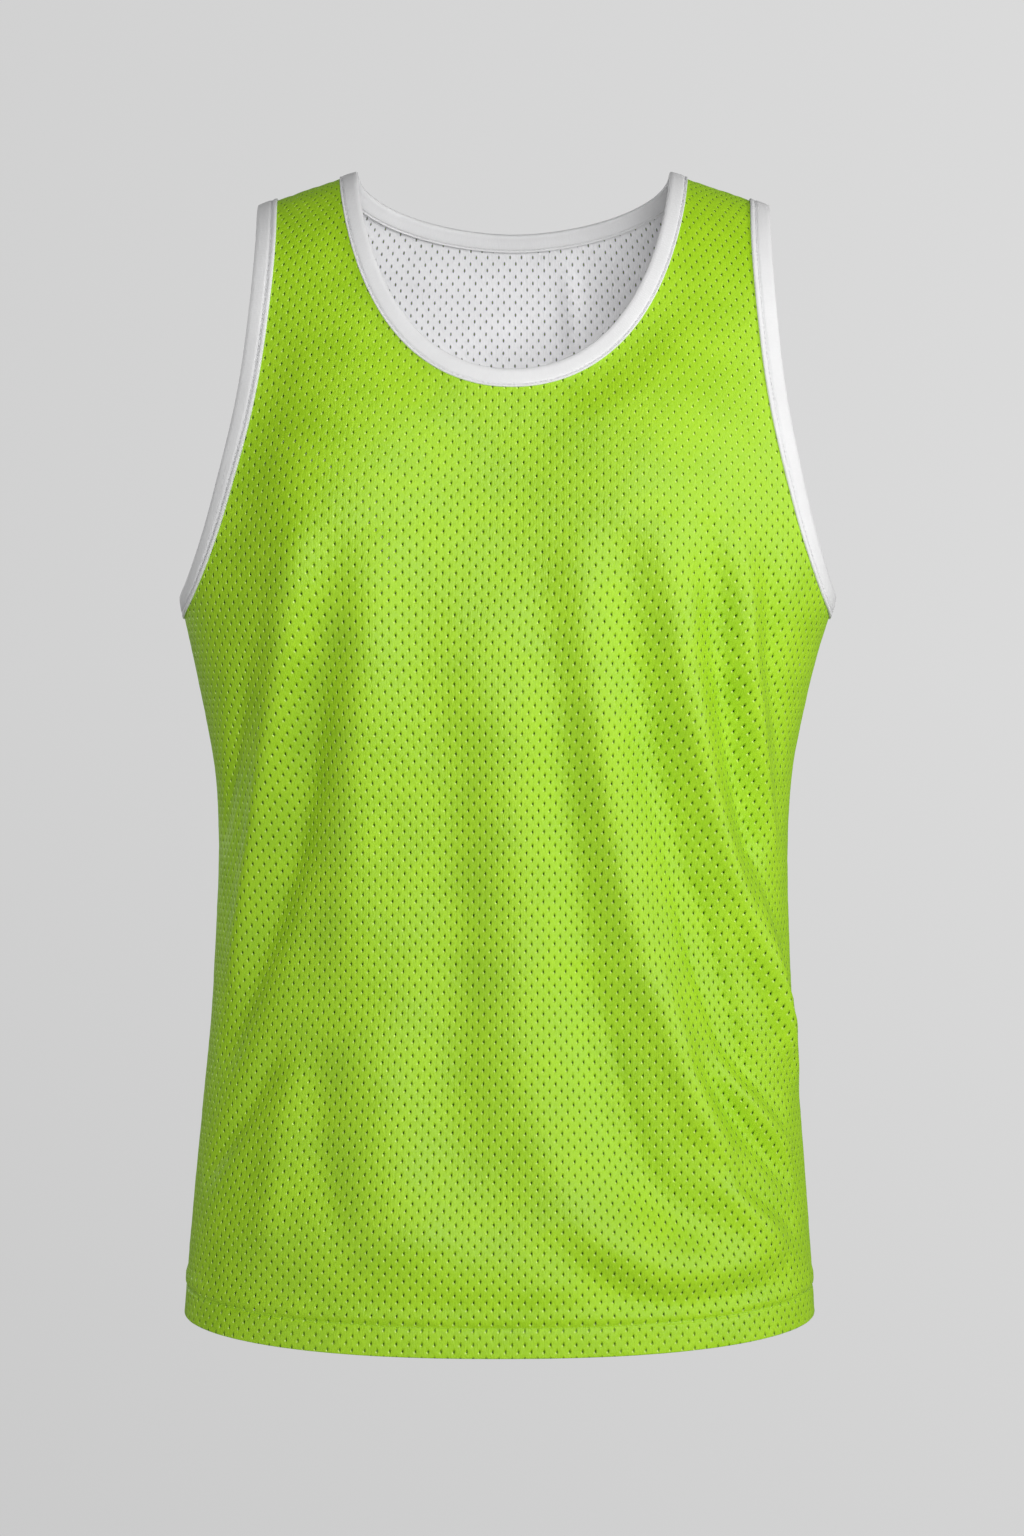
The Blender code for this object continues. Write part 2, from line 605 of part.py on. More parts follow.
def lining(name, side, net):
    columns = net.body.shape[1] - 1
    hem = np.array([hem_row(side, columns, LINING_HEM), net.hem[-1]])
    rows = list(LINING_ROWS) + list(range(BODY_ROWS, len(net.body)))
    places = [hem, net.body[rows], *net.straps]
    stretches = [lay(side, net, place, wall=LINING_WALL, lines=True) for place in places]
    return cloth_wall(name, stretches, cloth_material(name + "_cloth", WHITE, 0.6))


def binding(name, which, nets):
    halves = [(side, strips(side, nets[side])[which]) for side in (FRONT, BACK)]
    return tape_loop(name, halves, cloth_material(name + "_cloth", WHITE, 0.65))


def main():
    for thing in list(bpy.data.objects):
        bpy.data.objects.remove(thing, do_unlink=True)
    jersey = bpy.data.collections.new("basketball_jersey")
    bpy.context.scene.collection.children.link(jersey)
    nets = {side: cut_panel(side) for side in (FRONT, BACK)}
    pieces = [
        panel("front", FRONT, nets[FRONT]),
        panel("back", BACK, nets[BACK]),
        lining("front_lining", FRONT, nets[FRONT]),
        lining("back_lining", BACK, nets[BACK]),
        binding("neck_binding", 0, nets),
        binding("armhole_binding_right", 1, nets),
        binding("armhole_binding_left", 2, nets),
    ]
    for piece in pieces:
        jersey.objects.link(piece)


main()
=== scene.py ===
# Basketball jersey of two mesh layers, filled out as if worn, with nobody in it: perforated cloth,
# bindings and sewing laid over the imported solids. Metres, +X right seen from the front, +Z up.

import json
import math

import bmesh
import bpy
import numpy as np
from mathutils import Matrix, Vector
from mathutils.geometry import delaunay_2d_cdt
from mathutils.kdtree import KDTree

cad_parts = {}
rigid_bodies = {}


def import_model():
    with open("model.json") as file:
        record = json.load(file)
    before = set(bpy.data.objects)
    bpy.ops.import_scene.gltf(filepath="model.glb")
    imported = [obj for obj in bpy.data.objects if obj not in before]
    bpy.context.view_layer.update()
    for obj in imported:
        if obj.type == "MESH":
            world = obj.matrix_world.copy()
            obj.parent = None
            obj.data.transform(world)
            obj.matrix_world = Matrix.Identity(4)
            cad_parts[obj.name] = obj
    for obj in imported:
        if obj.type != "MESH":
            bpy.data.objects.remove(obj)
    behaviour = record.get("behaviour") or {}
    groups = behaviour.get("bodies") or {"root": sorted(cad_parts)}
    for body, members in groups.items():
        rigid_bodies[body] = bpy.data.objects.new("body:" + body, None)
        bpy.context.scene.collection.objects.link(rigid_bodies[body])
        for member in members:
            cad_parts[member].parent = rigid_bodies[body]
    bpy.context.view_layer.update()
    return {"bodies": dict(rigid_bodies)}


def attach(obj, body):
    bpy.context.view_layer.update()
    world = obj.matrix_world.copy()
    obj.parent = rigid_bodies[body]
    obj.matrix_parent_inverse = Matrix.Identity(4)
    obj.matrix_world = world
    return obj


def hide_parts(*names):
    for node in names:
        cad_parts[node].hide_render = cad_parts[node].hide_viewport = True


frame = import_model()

bodyName = sorted(frame["bodies"])[0]
quarterTurn = math.pi / 2
outward = {"front": -1, "back": 1}

# form of the filled-out garment, the same as the solids
bodyForm = {
    "columns": ("z", "halfWidth", "front", "back", "power", "sway"),
    "rows": (
        (-0.760, 0.2100, 0.1240, 0.1190, 2.30, -0.0083),
        (-0.716, 0.2068, 0.1210, 0.1160, 2.30, -0.0080),
        (-0.663, 0.2025, 0.1185, 0.1120, 2.28, -0.0075),
        (-0.610, 0.1978, 0.1165, 0.1070, 2.25, -0.0070),
        (-0.557, 0.1932, 0.1150, 0.1010, 2.22, -0.0066),
        (-0.503, 0.1905, 0.1145, 0.0970, 2.20, -0.0063),
        (-0.437, 0.1892, 0.1170, 0.0970, 2.20, -0.0057),
        (-0.397, 0.1918, 0.1205, 0.1010, 2.20, -0.0055),
        (-0.357, 0.1990, 0.1250, 0.1090, 2.22, -0.0052),
        (-0.317, 0.2081, 0.1275, 0.1160, 2.25, -0.0045),
        (-0.285, 0.2164, 0.1270, 0.1190, 2.27, -0.0028),
        (-0.200, 0.2230, 0.1210, 0.1220, 2.25, -0.0010),
        (-0.100, 0.2225, 0.1060, 0.1130, 2.20, 0.0005),
        (0.040, 0.2215, 0.0980, 0.1000, 2.20, 0.0013),
    ),
    "seamGap": 0.0003,
}

shoulderForm = {
    "neckEnd": 0.1045,
    "top": -0.0020,
    "slope": 0.375,
    "ease": 0.060,
    "round": 0.050,
    "power": 0.52,
    "depth": {"front": 0.290, "back": 0.330},
    "blend": 5.0,
}


def smoothCurve(knots, values, at):
    knots, values = np.array(knots), np.array(values)
    slopes = np.gradient(values, knots)
    at = np.clip(at, knots[0], knots[-1])
    row = np.clip(np.searchsorted(knots, at) - 1, 0, len(knots) - 2)
    step = knots[row + 1] - knots[row]
    t = (at - knots[row]) / step
    start = (1 + 2 * t) * (1 - t) ** 2 * values[row] + t * (1 - t) ** 2 * step * slopes[row]
    end = t * t * (3 - 2 * t) * values[row + 1] - t * t * (1 - t) * step * slopes[row + 1]
    return start + end


def readTable(form, column, z):
    columns = dict(zip(form["columns"], zip(*form["rows"])))
    return smoothCurve(columns["z"], columns[column], z)


def fade(value, start, full):
    t = np.clip((value - start) / (full - start), 0.0, 1.0)
    return t * t * (3 - 2 * t)


def bell(distance, width):
    return np.exp(-(distance / width) ** 2)


def unit(vectors):
    return vectors / np.linalg.norm(vectors, axis=-1, keepdims=True)


def runLength(points):
    # how far along a row of points each one is
    return np.append(0.0, np.cumsum(np.linalg.norm(np.diff(points, axis=0), axis=1)))


def makeTree(marks):
    tree = KDTree(len(marks))
    for k, mark in enumerate(marks):
        tree.insert(mark, k)
    tree.balance()
    return tree


def distanceTo(tree, points):
    return np.array([tree.find(point)[2] for point in points])


def shoulderHeight(angle):
    f = shoulderForm
    top = dict(zip(bodyForm["columns"], bodyForm["rows"][-1]))
    across = top["halfWidth"] * np.abs(np.sin(angle)) ** (2 / top["power"])
    run = np.hypot(across, f["ease"]) - math.hypot(f["neckEnd"], f["ease"])
    return f["top"] - f["slope"] * run


def heightOf(angle, drop):
    bend = shoulderForm["round"]
    return shoulderHeight(angle) - np.hypot(drop, bend) + bend


def dropOf(angle, z):
    bend = shoulderForm["round"]
    below = np.maximum(shoulderHeight(angle) - z, 0.0)
    return np.sqrt((below + bend) ** 2 - bend ** 2)


def angleOf(x, z):
    share = np.clip(np.abs(x) / readTable(bodyForm, "halfWidth", z), 0.0, 1.0)
    return np.sign(x) * np.arcsin(share ** (readTable(bodyForm, "power", z) / 2))


def surfacePoint(side, angle, drop):
    z = heightOf(angle, drop)
    power = 2 / readTable(bodyForm, "power", z)
    sine = np.sin(angle)
    x = readTable(bodyForm, "halfWidth", z) * np.sign(sine) * np.abs(sine) ** power
    body = np.maximum(readTable(bodyForm, side, z) * np.abs(np.cos(angle)) ** power, 1e-6)
    bend = shoulderForm["round"]
    below = np.hypot(drop, bend) - bend
    arch = np.maximum(shoulderForm["depth"][side] * below ** shoulderForm["power"], 1e-6)
    blend = shoulderForm["blend"]
    y = (body ** -blend + arch ** -blend) ** (-1 / blend)
    y = np.maximum(y, bodyForm["seamGap"] / 2)
    return np.stack([x + readTable(bodyForm, "sway", z), outward[side] * y, z], axis=-1)


def surfaceRuns(side, angle, drop):
    # how the surface runs for one radian of angle and one metre of drop
    turn, slide = 0.01, 0.001
    low = np.clip(angle - turn, -quarterTurn, quarterTurn)
    high = np.clip(angle + turn, -quarterTurn, quarterTurn)
    above = np.maximum(drop - slide, 0.0)
    across = surfacePoint(side, high, drop) - surfacePoint(side, low, drop)
    down = surfacePoint(side, angle, drop + slide) - surfacePoint(side, angle, above)
    return across / (high - low)[..., None], down / (drop + slide - above)[..., None]


def surfaceNormal(side, angle, drop):
    across, down = surfaceRuns(side, angle, drop)
    normal = unit(np.cross(across, down)) * outward[side]
    onSeam = (np.abs(angle) > quarterTurn - 1e-6) | (drop < 1e-6)
    normal[..., 1] = np.where(onSeam, 0.0, normal[..., 1])
    return unit(normal)


foldForm = {
    "arc": 0.172,
    "swell": 0.58,
    "mound": 0.028,          # a fold this wide or wider is a mound, which rises slowly
    "moundSwell": 1.5,
    "limit": 0.0080,
    "reach": 3,              # a fold is felt as far off as this many of its widths
    "cornerCuts": 3,
    "cornerShare": 0.25,
    "fadeStart": 0.010,
    "fadeFull": 0.045,
    "seamStart": 0.004,
    "seamFull": 0.032,
    "columns": ("name", "height", "width", "path"),
    "front": (
        ("leftFlankTrough", -0.0036, 0.011,
         ((-0.169, -0.311), (-0.176, -0.350), (-0.183, -0.396), (-0.191, -0.450))),
        ("leftFlankRidge", 0.0056, 0.013,
         ((-0.133, -0.241), (-0.141, -0.286), (-0.150, -0.338), (-0.161, -0.395), (-0.174, -0.474),
          (-0.186, -0.540))),
        ("underarmMound", 0.0075, 0.028,
         ((-0.138, -0.170), (-0.136, -0.222), (-0.136, -0.274), (-0.145, -0.350))),
        ("leftTrough", -0.0072, 0.015,
         ((-0.109, -0.238), (-0.114, -0.286), (-0.123, -0.337), (-0.132, -0.395), (-0.146, -0.467),
          (-0.171, -0.540), (-0.190, -0.593))),
        ("leftRidge", 0.0066, 0.021,
         ((-0.088, -0.242), (-0.092, -0.311), (-0.101, -0.389), (-0.104, -0.466), (-0.102, -0.542))),
        ("leftLowRidge", 0.0036, 0.024,
         ((-0.094, -0.548), (-0.089, -0.606), (-0.079, -0.657), (-0.057, -0.708))),
        ("middleTrough", -0.0047, 0.020,
         ((-0.071, -0.249), (-0.056, -0.306), (-0.042, -0.369), (-0.039, -0.452), (-0.037, -0.529),
          (-0.041, -0.599), (-0.031, -0.659), (-0.005, -0.697), (0.015, -0.726))),
        ("middleRidge", 0.0053, 0.018,
         ((-0.005, -0.336), (-0.001, -0.388), (0.003, -0.464), (0.005, -0.542), (0.009, -0.606),
          (0.030, -0.659), (0.061, -0.695), (0.091, -0.719), (0.128, -0.722), (0.175, -0.709))),
        ("rightTrough", -0.0058, 0.015,
         ((0.012, -0.248), (0.026, -0.311), (0.035, -0.400), (0.041, -0.472), (0.052, -0.543),
          (0.066, -0.612), (0.088, -0.665), (0.121, -0.696), (0.161, -0.698))),
        ("rightRidge", 0.0080, 0.015,
         ((0.039, -0.242), (0.049, -0.313), (0.059, -0.387), (0.071, -0.466), (0.090, -0.530),
          (0.114, -0.600), (0.131, -0.648), (0.147, -0.679), (0.181, -0.710))),
        ("rightDeepTrough", -0.0088, 0.014,
         ((0.062, -0.235), (0.077, -0.311), (0.092, -0.389), (0.111, -0.465), (0.129, -0.532),
          (0.147, -0.584), (0.179, -0.625))),
        ("rightFlankRidge", 0.0098, 0.012,
         ((0.092, -0.232), (0.107, -0.311), (0.122, -0.389), (0.140, -0.460), (0.161, -0.519),
          (0.179, -0.573), (0.191, -0.611))),
        ("rightFlankTrough", -0.0084, 0.011,
         ((0.119, -0.231), (0.132, -0.312), (0.146, -0.389), (0.159, -0.457), (0.172, -0.508))),
        ("farFlankRidge", 0.0060, 0.009,
         ((0.137, -0.235), (0.151, -0.312), (0.162, -0.390), (0.173, -0.455))),
        ("farFlankTrough", -0.0045, 0.009,
         ((0.162, -0.240), (0.167, -0.312), (0.176, -0.396))),
        ("flankHollow", -0.0060, 0.014,
         ((0.117, -0.466), (0.135, -0.544), (0.156, -0.603))),
        ("flankSwell", 0.0080, 0.014,
         ((0.156, -0.448), (0.168, -0.520), (0.180, -0.587))),
        ("lowTrough", -0.0050, 0.016,
         ((0.045, -0.517), (0.056, -0.568), (0.072, -0.626), (0.094, -0.671), (0.132, -0.694))),
        ("lowRidge", 0.0052, 0.016,
         ((0.087, -0.517), (0.103, -0.569), (0.125, -0.628), (0.146, -0.671), (0.179, -0.699))),
        ("lowerSwoosh", -0.0066, 0.013,
         ((0.021, -0.691), (0.056, -0.724), (0.102, -0.742), (0.144, -0.738), (0.182, -0.723))),
        ("dragTroughHigh", -0.0060, 0.009,
         ((0.114, -0.573), (0.129, -0.598), (0.148, -0.625), (0.171, -0.653), (0.183, -0.667))),
        ("dragRidge", 0.0050, 0.009,
         ((0.135, -0.583), (0.154, -0.610), (0.176, -0.638), (0.184, -0.648))),
        ("dragTroughLow", -0.0050, 0.009,
         ((0.113, -0.629), (0.134, -0.653), (0.163, -0.677), (0.184, -0.694))),
        ("leftDragTrough", -0.0040, 0.011,
         ((-0.149, -0.570), (-0.162, -0.596), (-0.179, -0.628), (-0.202, -0.666))),
        ("lowerLeftRidge", 0.0030, 0.014,
         ((-0.139, -0.581), (-0.151, -0.634), (-0.157, -0.673), (-0.152, -0.714))),
        ("lowerLeftTrough", -0.0026, 0.012,
         ((-0.122, -0.569), (-0.124, -0.614), (-0.121, -0.652), (-0.110, -0.687), (-0.100, -0.722))),
        ("chestHollow", -0.0070, 0.036,
         ((-0.008, -0.112), (-0.012, -0.202), (0.003, -0.325))),
        ("leftChest", 0.0095, 0.048,
         ((-0.104, -0.073), (-0.105, -0.196), (-0.104, -0.338))),
        ("rightChest", 0.0110, 0.052,
         ((0.099, -0.078), (0.089, -0.203), (0.069, -0.337))),
        ("lowerBelly", 0.0070, 0.032,
         ((-0.213, -0.699), (-0.117, -0.691), (0.006, -0.709), (0.108, -0.711), (0.198, -0.707))),
    ),
    "back": (
        ("napeCrease", -0.0022, 0.0045,
         ((0.037, -0.035), (0.040, -0.070), (0.043, -0.115))),
        ("bladeRight", 0.0030, 0.032,
         ((0.080, -0.10), (0.086, -0.16), (0.080, -0.23))),
        ("bladeLeft", 0.0030, 0.032,
         ((-0.076, -0.10), (-0.084, -0.16), (-0.080, -0.23))),
        ("spineHollow", -0.0040, 0.030,
         ((0.004, -0.14), (0.002, -0.24), (0.000, -0.36), (-0.004, -0.46))),
        ("smallBackTrough", -0.0060, 0.018,
         ((-0.040, -0.28), (-0.052, -0.38), (-0.064, -0.49), (-0.060, -0.60), (-0.070, -0.70))),
        ("smallBackRidge", 0.0055, 0.020,
         ((-0.014, -0.30), (-0.022, -0.40), (-0.030, -0.52), (-0.022, -0.62), (-0.030, -0.71))),
        ("seatRidge", 0.0055, 0.022,
         ((0.040, -0.31), (0.034, -0.41), (0.036, -0.52), (0.050, -0.62), (0.046, -0.71))),
        ("seatTrough", -0.0060, 0.018,
         ((0.066, -0.26), (0.066, -0.36), (0.070, -0.47), (0.088, -0.58), (0.090, -0.69))),
        ("leftWaistRidge", 0.0050, 0.016,
         ((-0.082, -0.25), (-0.092, -0.34), (-0.102, -0.45), (-0.104, -0.56))),
        ("leftWaistTrough", -0.0055, 0.015,
         ((-0.110, -0.24), (-0.126, -0.34), (-0.138, -0.45), (-0.142, -0.57), (-0.150, -0.66))),
        ("rightWaistRidge", 0.0050, 0.016,
         ((0.096, -0.24), (0.108, -0.35), (0.116, -0.46), (0.130, -0.58), (0.126, -0.67))),
        ("rightWaistTrough", -0.0055, 0.015,
         ((0.124, -0.23), (0.142, -0.33), (0.150, -0.44), (0.164, -0.55))),
        ("leftDrag", -0.0040, 0.013,
         ((-0.180, -0.60), (-0.148, -0.65), (-0.112, -0.67))),
        ("rightDrag", 0.0040, 0.013,
         ((0.186, -0.62), (0.158, -0.67), (0.126, -0.70))),
    ),
}


def foldPath(path):
    # corners cut again and again, so that a crease runs in a curve
    x, z = np.array(path).T
    arc = foldForm["arc"] * angleOf(x - readTable(bodyForm, "sway", z), z)
    knots = np.stack([arc, z], axis=1)
    share = foldForm["cornerShare"]
    for _ in range(foldForm["cornerCuts"]):
        early = knots[:-1] * (1 - share) + knots[1:] * share
        late = knots[:-1] * share + knots[1:] * (1 - share)
        between = np.stack([early, late], axis=1).reshape(-1, 2)
        knots = np.concatenate([knots[:1], between, knots[-1:]])
    return knots


def foldHeight(side, angle, z):
    here = np.stack([foldForm["arc"] * angle, z], axis=-1)
    total = np.zeros(angle.shape)
    for name, height, width, path in foldForm[side]:
        knots = foldPath(path)
        reach = foldForm["reach"] * width
        near = np.all((here > knots.min(axis=0) - reach) & (here < knots.max(axis=0) + reach), axis=-1)
        spot = here[near]
        steps = np.diff(knots, axis=0)
        lengths = np.linalg.norm(steps, axis=1)
        along = np.append(0.0, np.cumsum(lengths)) / lengths.sum()
        away = np.full(len(spot), np.inf)
        place = np.zeros(len(spot))
        for k, (step, length) in enumerate(zip(steps, lengths)):
            share = np.clip(((spot - knots[k]) @ step) / length ** 2, 0.0, 1.0)
            gap = np.linalg.norm(spot - knots[k] - share[:, None] * step, axis=1)
            place = np.where(gap < away, along[k] + share * (along[k + 1] - along[k]), place)
            away = np.minimum(gap, away)
        power = foldForm["swell"] if width < foldForm["mound"] else foldForm["moundSwell"]
        swell = np.sin(math.pi * np.clip(place, 0.0, 1.0)) ** power
        total[near] += height * swell * bell(away, width)
    return np.maximum(total, -foldForm["limit"])


# the flat cut: a place on a panel is (u, v), across from its middle and down the grain
patternForm = {
    "halfWidth": 0.268,
    "top": -0.04,
    "bottom": 0.86,
    "rows": 320,
    "columns": 220,
    "samples": 600,
}


def makePattern(side):
    f = patternForm
    fineAngles = np.linspace(0.0, quarterTurn, f["samples"])
    shares = np.linspace(0.0, 1.0, f["columns"])
    rows = np.linspace(f["top"], f["bottom"], f["rows"])
    angles = []
    for v in rows:
        drops = np.maximum(v + shoulderHeight(fineAngles), 0.0)
        points = surfacePoint(side, fineAngles, drops)
        arc = runLength(points)
        angles.append(np.interp(shares * arc[-1], arc, fineAngles))
    return {"side": side, "rows": rows, "shares": shares, "angles": np.array(angles)}


def patternRow(v):
    # the pattern's row above a height in the flat cut, and how far past it that is
    f = patternForm
    i = np.clip((v - f["top"]) / (f["bottom"] - f["top"]) * (f["rows"] - 1), 0, f["rows"] - 1.001)
    row = i.astype(int)
    return row, i - row


def placeOf(pattern, flat):
    # from the flat cut to (angle, drop) on the body
    u, v = flat[..., 0], flat[..., 1]
    f = patternForm
    row, i = patternRow(v)
    j = np.clip(np.abs(u) / f["halfWidth"], 0.0, 1.0) * (f["columns"] - 1)
    j = np.minimum(j, f["columns"] - 1 - 1e-9)
    column = j.astype(int)
    j = j - column
    table = pattern["angles"]
    upper = table[row, column] * (1 - j) + table[row, column + 1] * j
    lower = table[row + 1, column] * (1 - j) + table[row + 1, column + 1] * j
    angle = upper * (1 - i) + lower * i
    return np.stack([np.sign(u) * angle, v + shoulderHeight(angle)], axis=-1)


def flatOf(pattern, place):
    # from (angle, drop) on the body to the flat cut
    angle, drop = place.T
    v = drop - shoulderHeight(angle)
    share = []
    for turn, r, t in zip(np.abs(angle), *patternRow(v)):
        upper = np.interp(turn, pattern["angles"][r], pattern["shares"])
        lower = np.interp(turn, pattern["angles"][r + 1], pattern["shares"])
        share.append(upper * (1 - t) + lower * t)
    return np.stack([np.sign(angle) * np.array(share) * patternForm["halfWidth"], v], axis=-1)


neckForm = {
    "drop": {"front": 0.137, "back": 0.034},
    "curve": {"front": 2.08, "back": 1.80},
    "waist": {"front": 0.15, "back": 0.0},
    "samples": 361,
}


def neckLine(side):
    f = neckForm
    turn = np.linspace(0.0, quarterTurn, f["samples"])
    power = 2 / f["curve"][side]
    deep = np.abs(np.cos(turn)) ** power
    x = shoulderForm["neckEnd"] * np.sin(turn) ** power * (1 - f["waist"][side] * deep * (1 - deep))
    z = shoulderForm["top"] - f["drop"][side] * deep
    angle = angleOf(x, z)
    drop = dropOf(angle, z + shoulderHeight(angle[-1]) - shoulderForm["top"])
    drop[-1] = 0.0
    return np.stack([angle, drop], axis=1)


armholeForm = {
    "underarm": -0.2848,
    "columns": ("z", "x"),
    "rows": (
        (-0.2848, 0.2163),
        (-0.2740, 0.2102),
        (-0.2600, 0.2044),
        (-0.2450, 0.1992),
        (-0.2050, 0.1882),
        (-0.1550, 0.1771),
        (-0.1000, 0.1702),
        (-0.0500, 0.1672),
        (0.0000, 0.1690),
    ),
    "samples": 361,
    "rounds": 6,             # times that its top end is fitted to the shoulder line
}


def armholeLine():
    f = armholeForm
    share = (1 - np.cos(np.linspace(0.0, math.pi, f["samples"]))) / 2
    fit = readTable(bodyForm, "halfWidth", f["underarm"]) / f["rows"][0][1]
    tip = 0.0
    for _ in range(f["rounds"]):
        z = f["underarm"] + (tip - f["underarm"]) * share
        angle = angleOf(readTable(f, "x", z) * fit, z)
        tip = shoulderHeight(angle[-1])
    angle[0] = quarterTurn
    drop = dropOf(angle, z)
    drop[-1] = 0.0
    return np.stack([angle, drop], axis=1)


hemForm = {
    "side": -0.757,
    "dip": {"front": 0.0135, "back": 0.0110},
    "curve": 1.2,
    "marks": 400,
}


def hemHeight(side, angle):
    return hemForm["side"] - hemForm["dip"][side] * np.abs(np.cos(angle)) ** hemForm["curve"]


def hemLine(side, lift, cells):
    angle = np.linspace(-quarterTurn, quarterTurn, cells + 1)
    return np.stack([angle, dropOf(angle, hemHeight(side, angle) + lift)], axis=1)


def evenly(side, line, spacing):
    # the same line with a point at every spacing along the cloth
    length = runLength(surfacePoint(side, *line.T))
    cells = max(2, round(length[-1] / spacing))
    even = np.linspace(0.0, length[-1], cells + 1)
    return np.stack([np.interp(even, length, column) for column in line.T], axis=1)


def insetLines(side, line, width, steps=4):
    # copies of an edge moved step by step into the cloth
    lines = [line]
    for _ in range(steps):
        angle, drop = line.T
        along = unit(np.gradient(surfacePoint(side, angle, drop), axis=0))
        inward = np.cross(along, surfaceNormal(side, angle, drop)) * outward[side] * width / steps
        runs = np.stack(surfaceRuns(side, angle, drop), axis=-1)
        square = np.einsum("nij,nik->njk", runs, runs)
        push = np.einsum("nij,ni->nj", runs, inward)
        moved = line + np.linalg.solve(square, push[..., None])[..., 0]
        angle = np.clip(moved[:, 0], -quarterTurn, quarterTurn)
        line = np.stack([angle, np.maximum(moved[:, 1], 0.0)], axis=1)
        lines.append(line)
    return lines


# relief of the cloth over its plain form
sewnForm = {
    "hemTurn": 0.0195,       # height of the turned-up band
    "hemFold": 0.0009,       # radius of the fold at the lower edge
    "stitchRows": (-0.0022, -0.0012, 0.0, 0.0012, 0.0022),     # rows of points over the groove
    "grooveDepth": 0.00110,
    "grooveWidth": 0.0012,
    "ridgeHeight": 0.00160,
    "ridgeWidth": 0.0036,
    "ridgeUp": 0.0058,
    "puckerSlant": 0.4,
    "puckerReach": 0.0085,
    "seamDip": 0.0009,
    "seamDipWidth": 0.0028,
}

liningForm = {
    "bound": 0.0010,         # how far it lies behind the outer cloth under a tape,
    "close": 0.0040,         # at chest and shoulders,
    "hang": 0.0102,          # and where it hangs free
    "leaves": 0.150,
    "hangs": 0.280,
    "hem": 0.0220,
    "hemTurn": 0.0080,
    "cutInset": 0.0050,      # its edge stands back from the outer cloth's at neck and armholes
}

rippleForm = {
    "columns": ("height", "size", "phase"),
    "broad": (0.00045, 0.085, 0.4),      # over the open cloth
    "fine": (0.00016, 0.026, 2.1),       # all over
    "gather": (0.35, 0.034, 1.1),        # a share of the ridge over the hem
    "pucker": (0.00028, 0.011, 0.7),     # along the hem's stitching
    "inner": (0.0011, 0.140, 3.0),       # where the lining hangs free
    "waves": ((1.0, 0.31), (-0.62, 0.84), (0.27, -1.13), (1.49, 0.58)),     # how each runs across and down
    "turn": 1.9,
    "bend": 0.8,
    "slow": 0.37,
    "slowTurn": 2.3,
}


def ripple(kind, u, v):
    # uneven, without a repeat that the eye can find
    f = rippleForm
    height, size, phase = f[kind]
    total = np.zeros(np.shape(u))
    for k, (across, down) in enumerate(f["waves"]):
        wave = 2 * math.pi * (across * u + down * v) / size
        bend = f["bend"] * np.sin(f["slow"] * wave + f["slowTurn"] * k)
        total += np.sin(wave + phase + f["turn"] * k + bend)
    return height * (total / len(f["waves"]))


def edgeTrees(side):
    neck = neckLine(side)
    arm = armholeLine()
    flip = (-1, 1)
    cuts = np.concatenate([surfacePoint(side, *line.T) for line in (neck, neck * flip, arm, arm * flip)])
    hem = surfacePoint(side, *hemLine(side, 0.0, hemForm["marks"]).T)
    drops = np.linspace(arm[0, 1], hemLine(side, 0.0, 2)[0, 1], hemForm["marks"])
    seam = np.stack([np.full(len(drops), quarterTurn), drops], axis=1)
    seams = np.concatenate([surfacePoint(side, *line.T) for line in (seam, seam * flip)])
    return {"seams": makeTree(seams), "edges": makeTree(np.concatenate([cuts, hem]))}


def clearOfEdges(trees, points):
    return fade(distanceTo(trees["edges"], points), foldForm["fadeStart"], foldForm["fadeFull"])


def outerRelief(side, trees, place, flat):
    f = sewnForm
    angle, drop = place.T
    points = surfacePoint(side, angle, drop)
    z = points[:, 2]
    openCloth = clearOfEdges(trees, points)
    openCloth *= fade(distanceTo(trees["seams"], points), foldForm["seamStart"], foldForm["seamFull"])
    height = foldHeight(side, angle, z) * openCloth
    height += ripple("broad", *flat.T) * openCloth
    height += ripple("fine", *flat.T)

    fromStitch = z - hemHeight(side, angle) - f["hemTurn"]
    gather = 1 + ripple("gather", flat[:, 0], 0 * z)
    height -= f["grooveDepth"] * bell(fromStitch, f["grooveWidth"])
    height += f["ridgeHeight"] * gather * bell(fromStitch - f["ridgeUp"], f["ridgeWidth"])
    pucker = ripple("pucker", flat[:, 0], f["puckerSlant"] * flat[:, 1])
    height += pucker * bell(fromStitch, f["puckerReach"])

    fromSeam = patternForm["halfWidth"] - np.abs(flat[:, 0])
    height -= f["seamDip"] * (bell(fromSeam, f["seamDipWidth"]) + bell(drop, f["seamDipWidth"]))
    return points, height


def innerRelief(side, trees, place, flat):
    f = liningForm
    points, height = outerRelief(side, trees, place, flat)
    free = fade(-points[:, 2], f["leaves"], f["hangs"])
    openCloth = clearOfEdges(trees, points)
    soft = ripple("inner", *flat.T) * openCloth * free
    close = f["bound"] + (f["close"] - f["bound"]) * openCloth
    hanging = -f["bound"] - (f["hang"] - f["bound"]) * openCloth + soft
    return points, (height - close) * (1 - free) + hanging * free


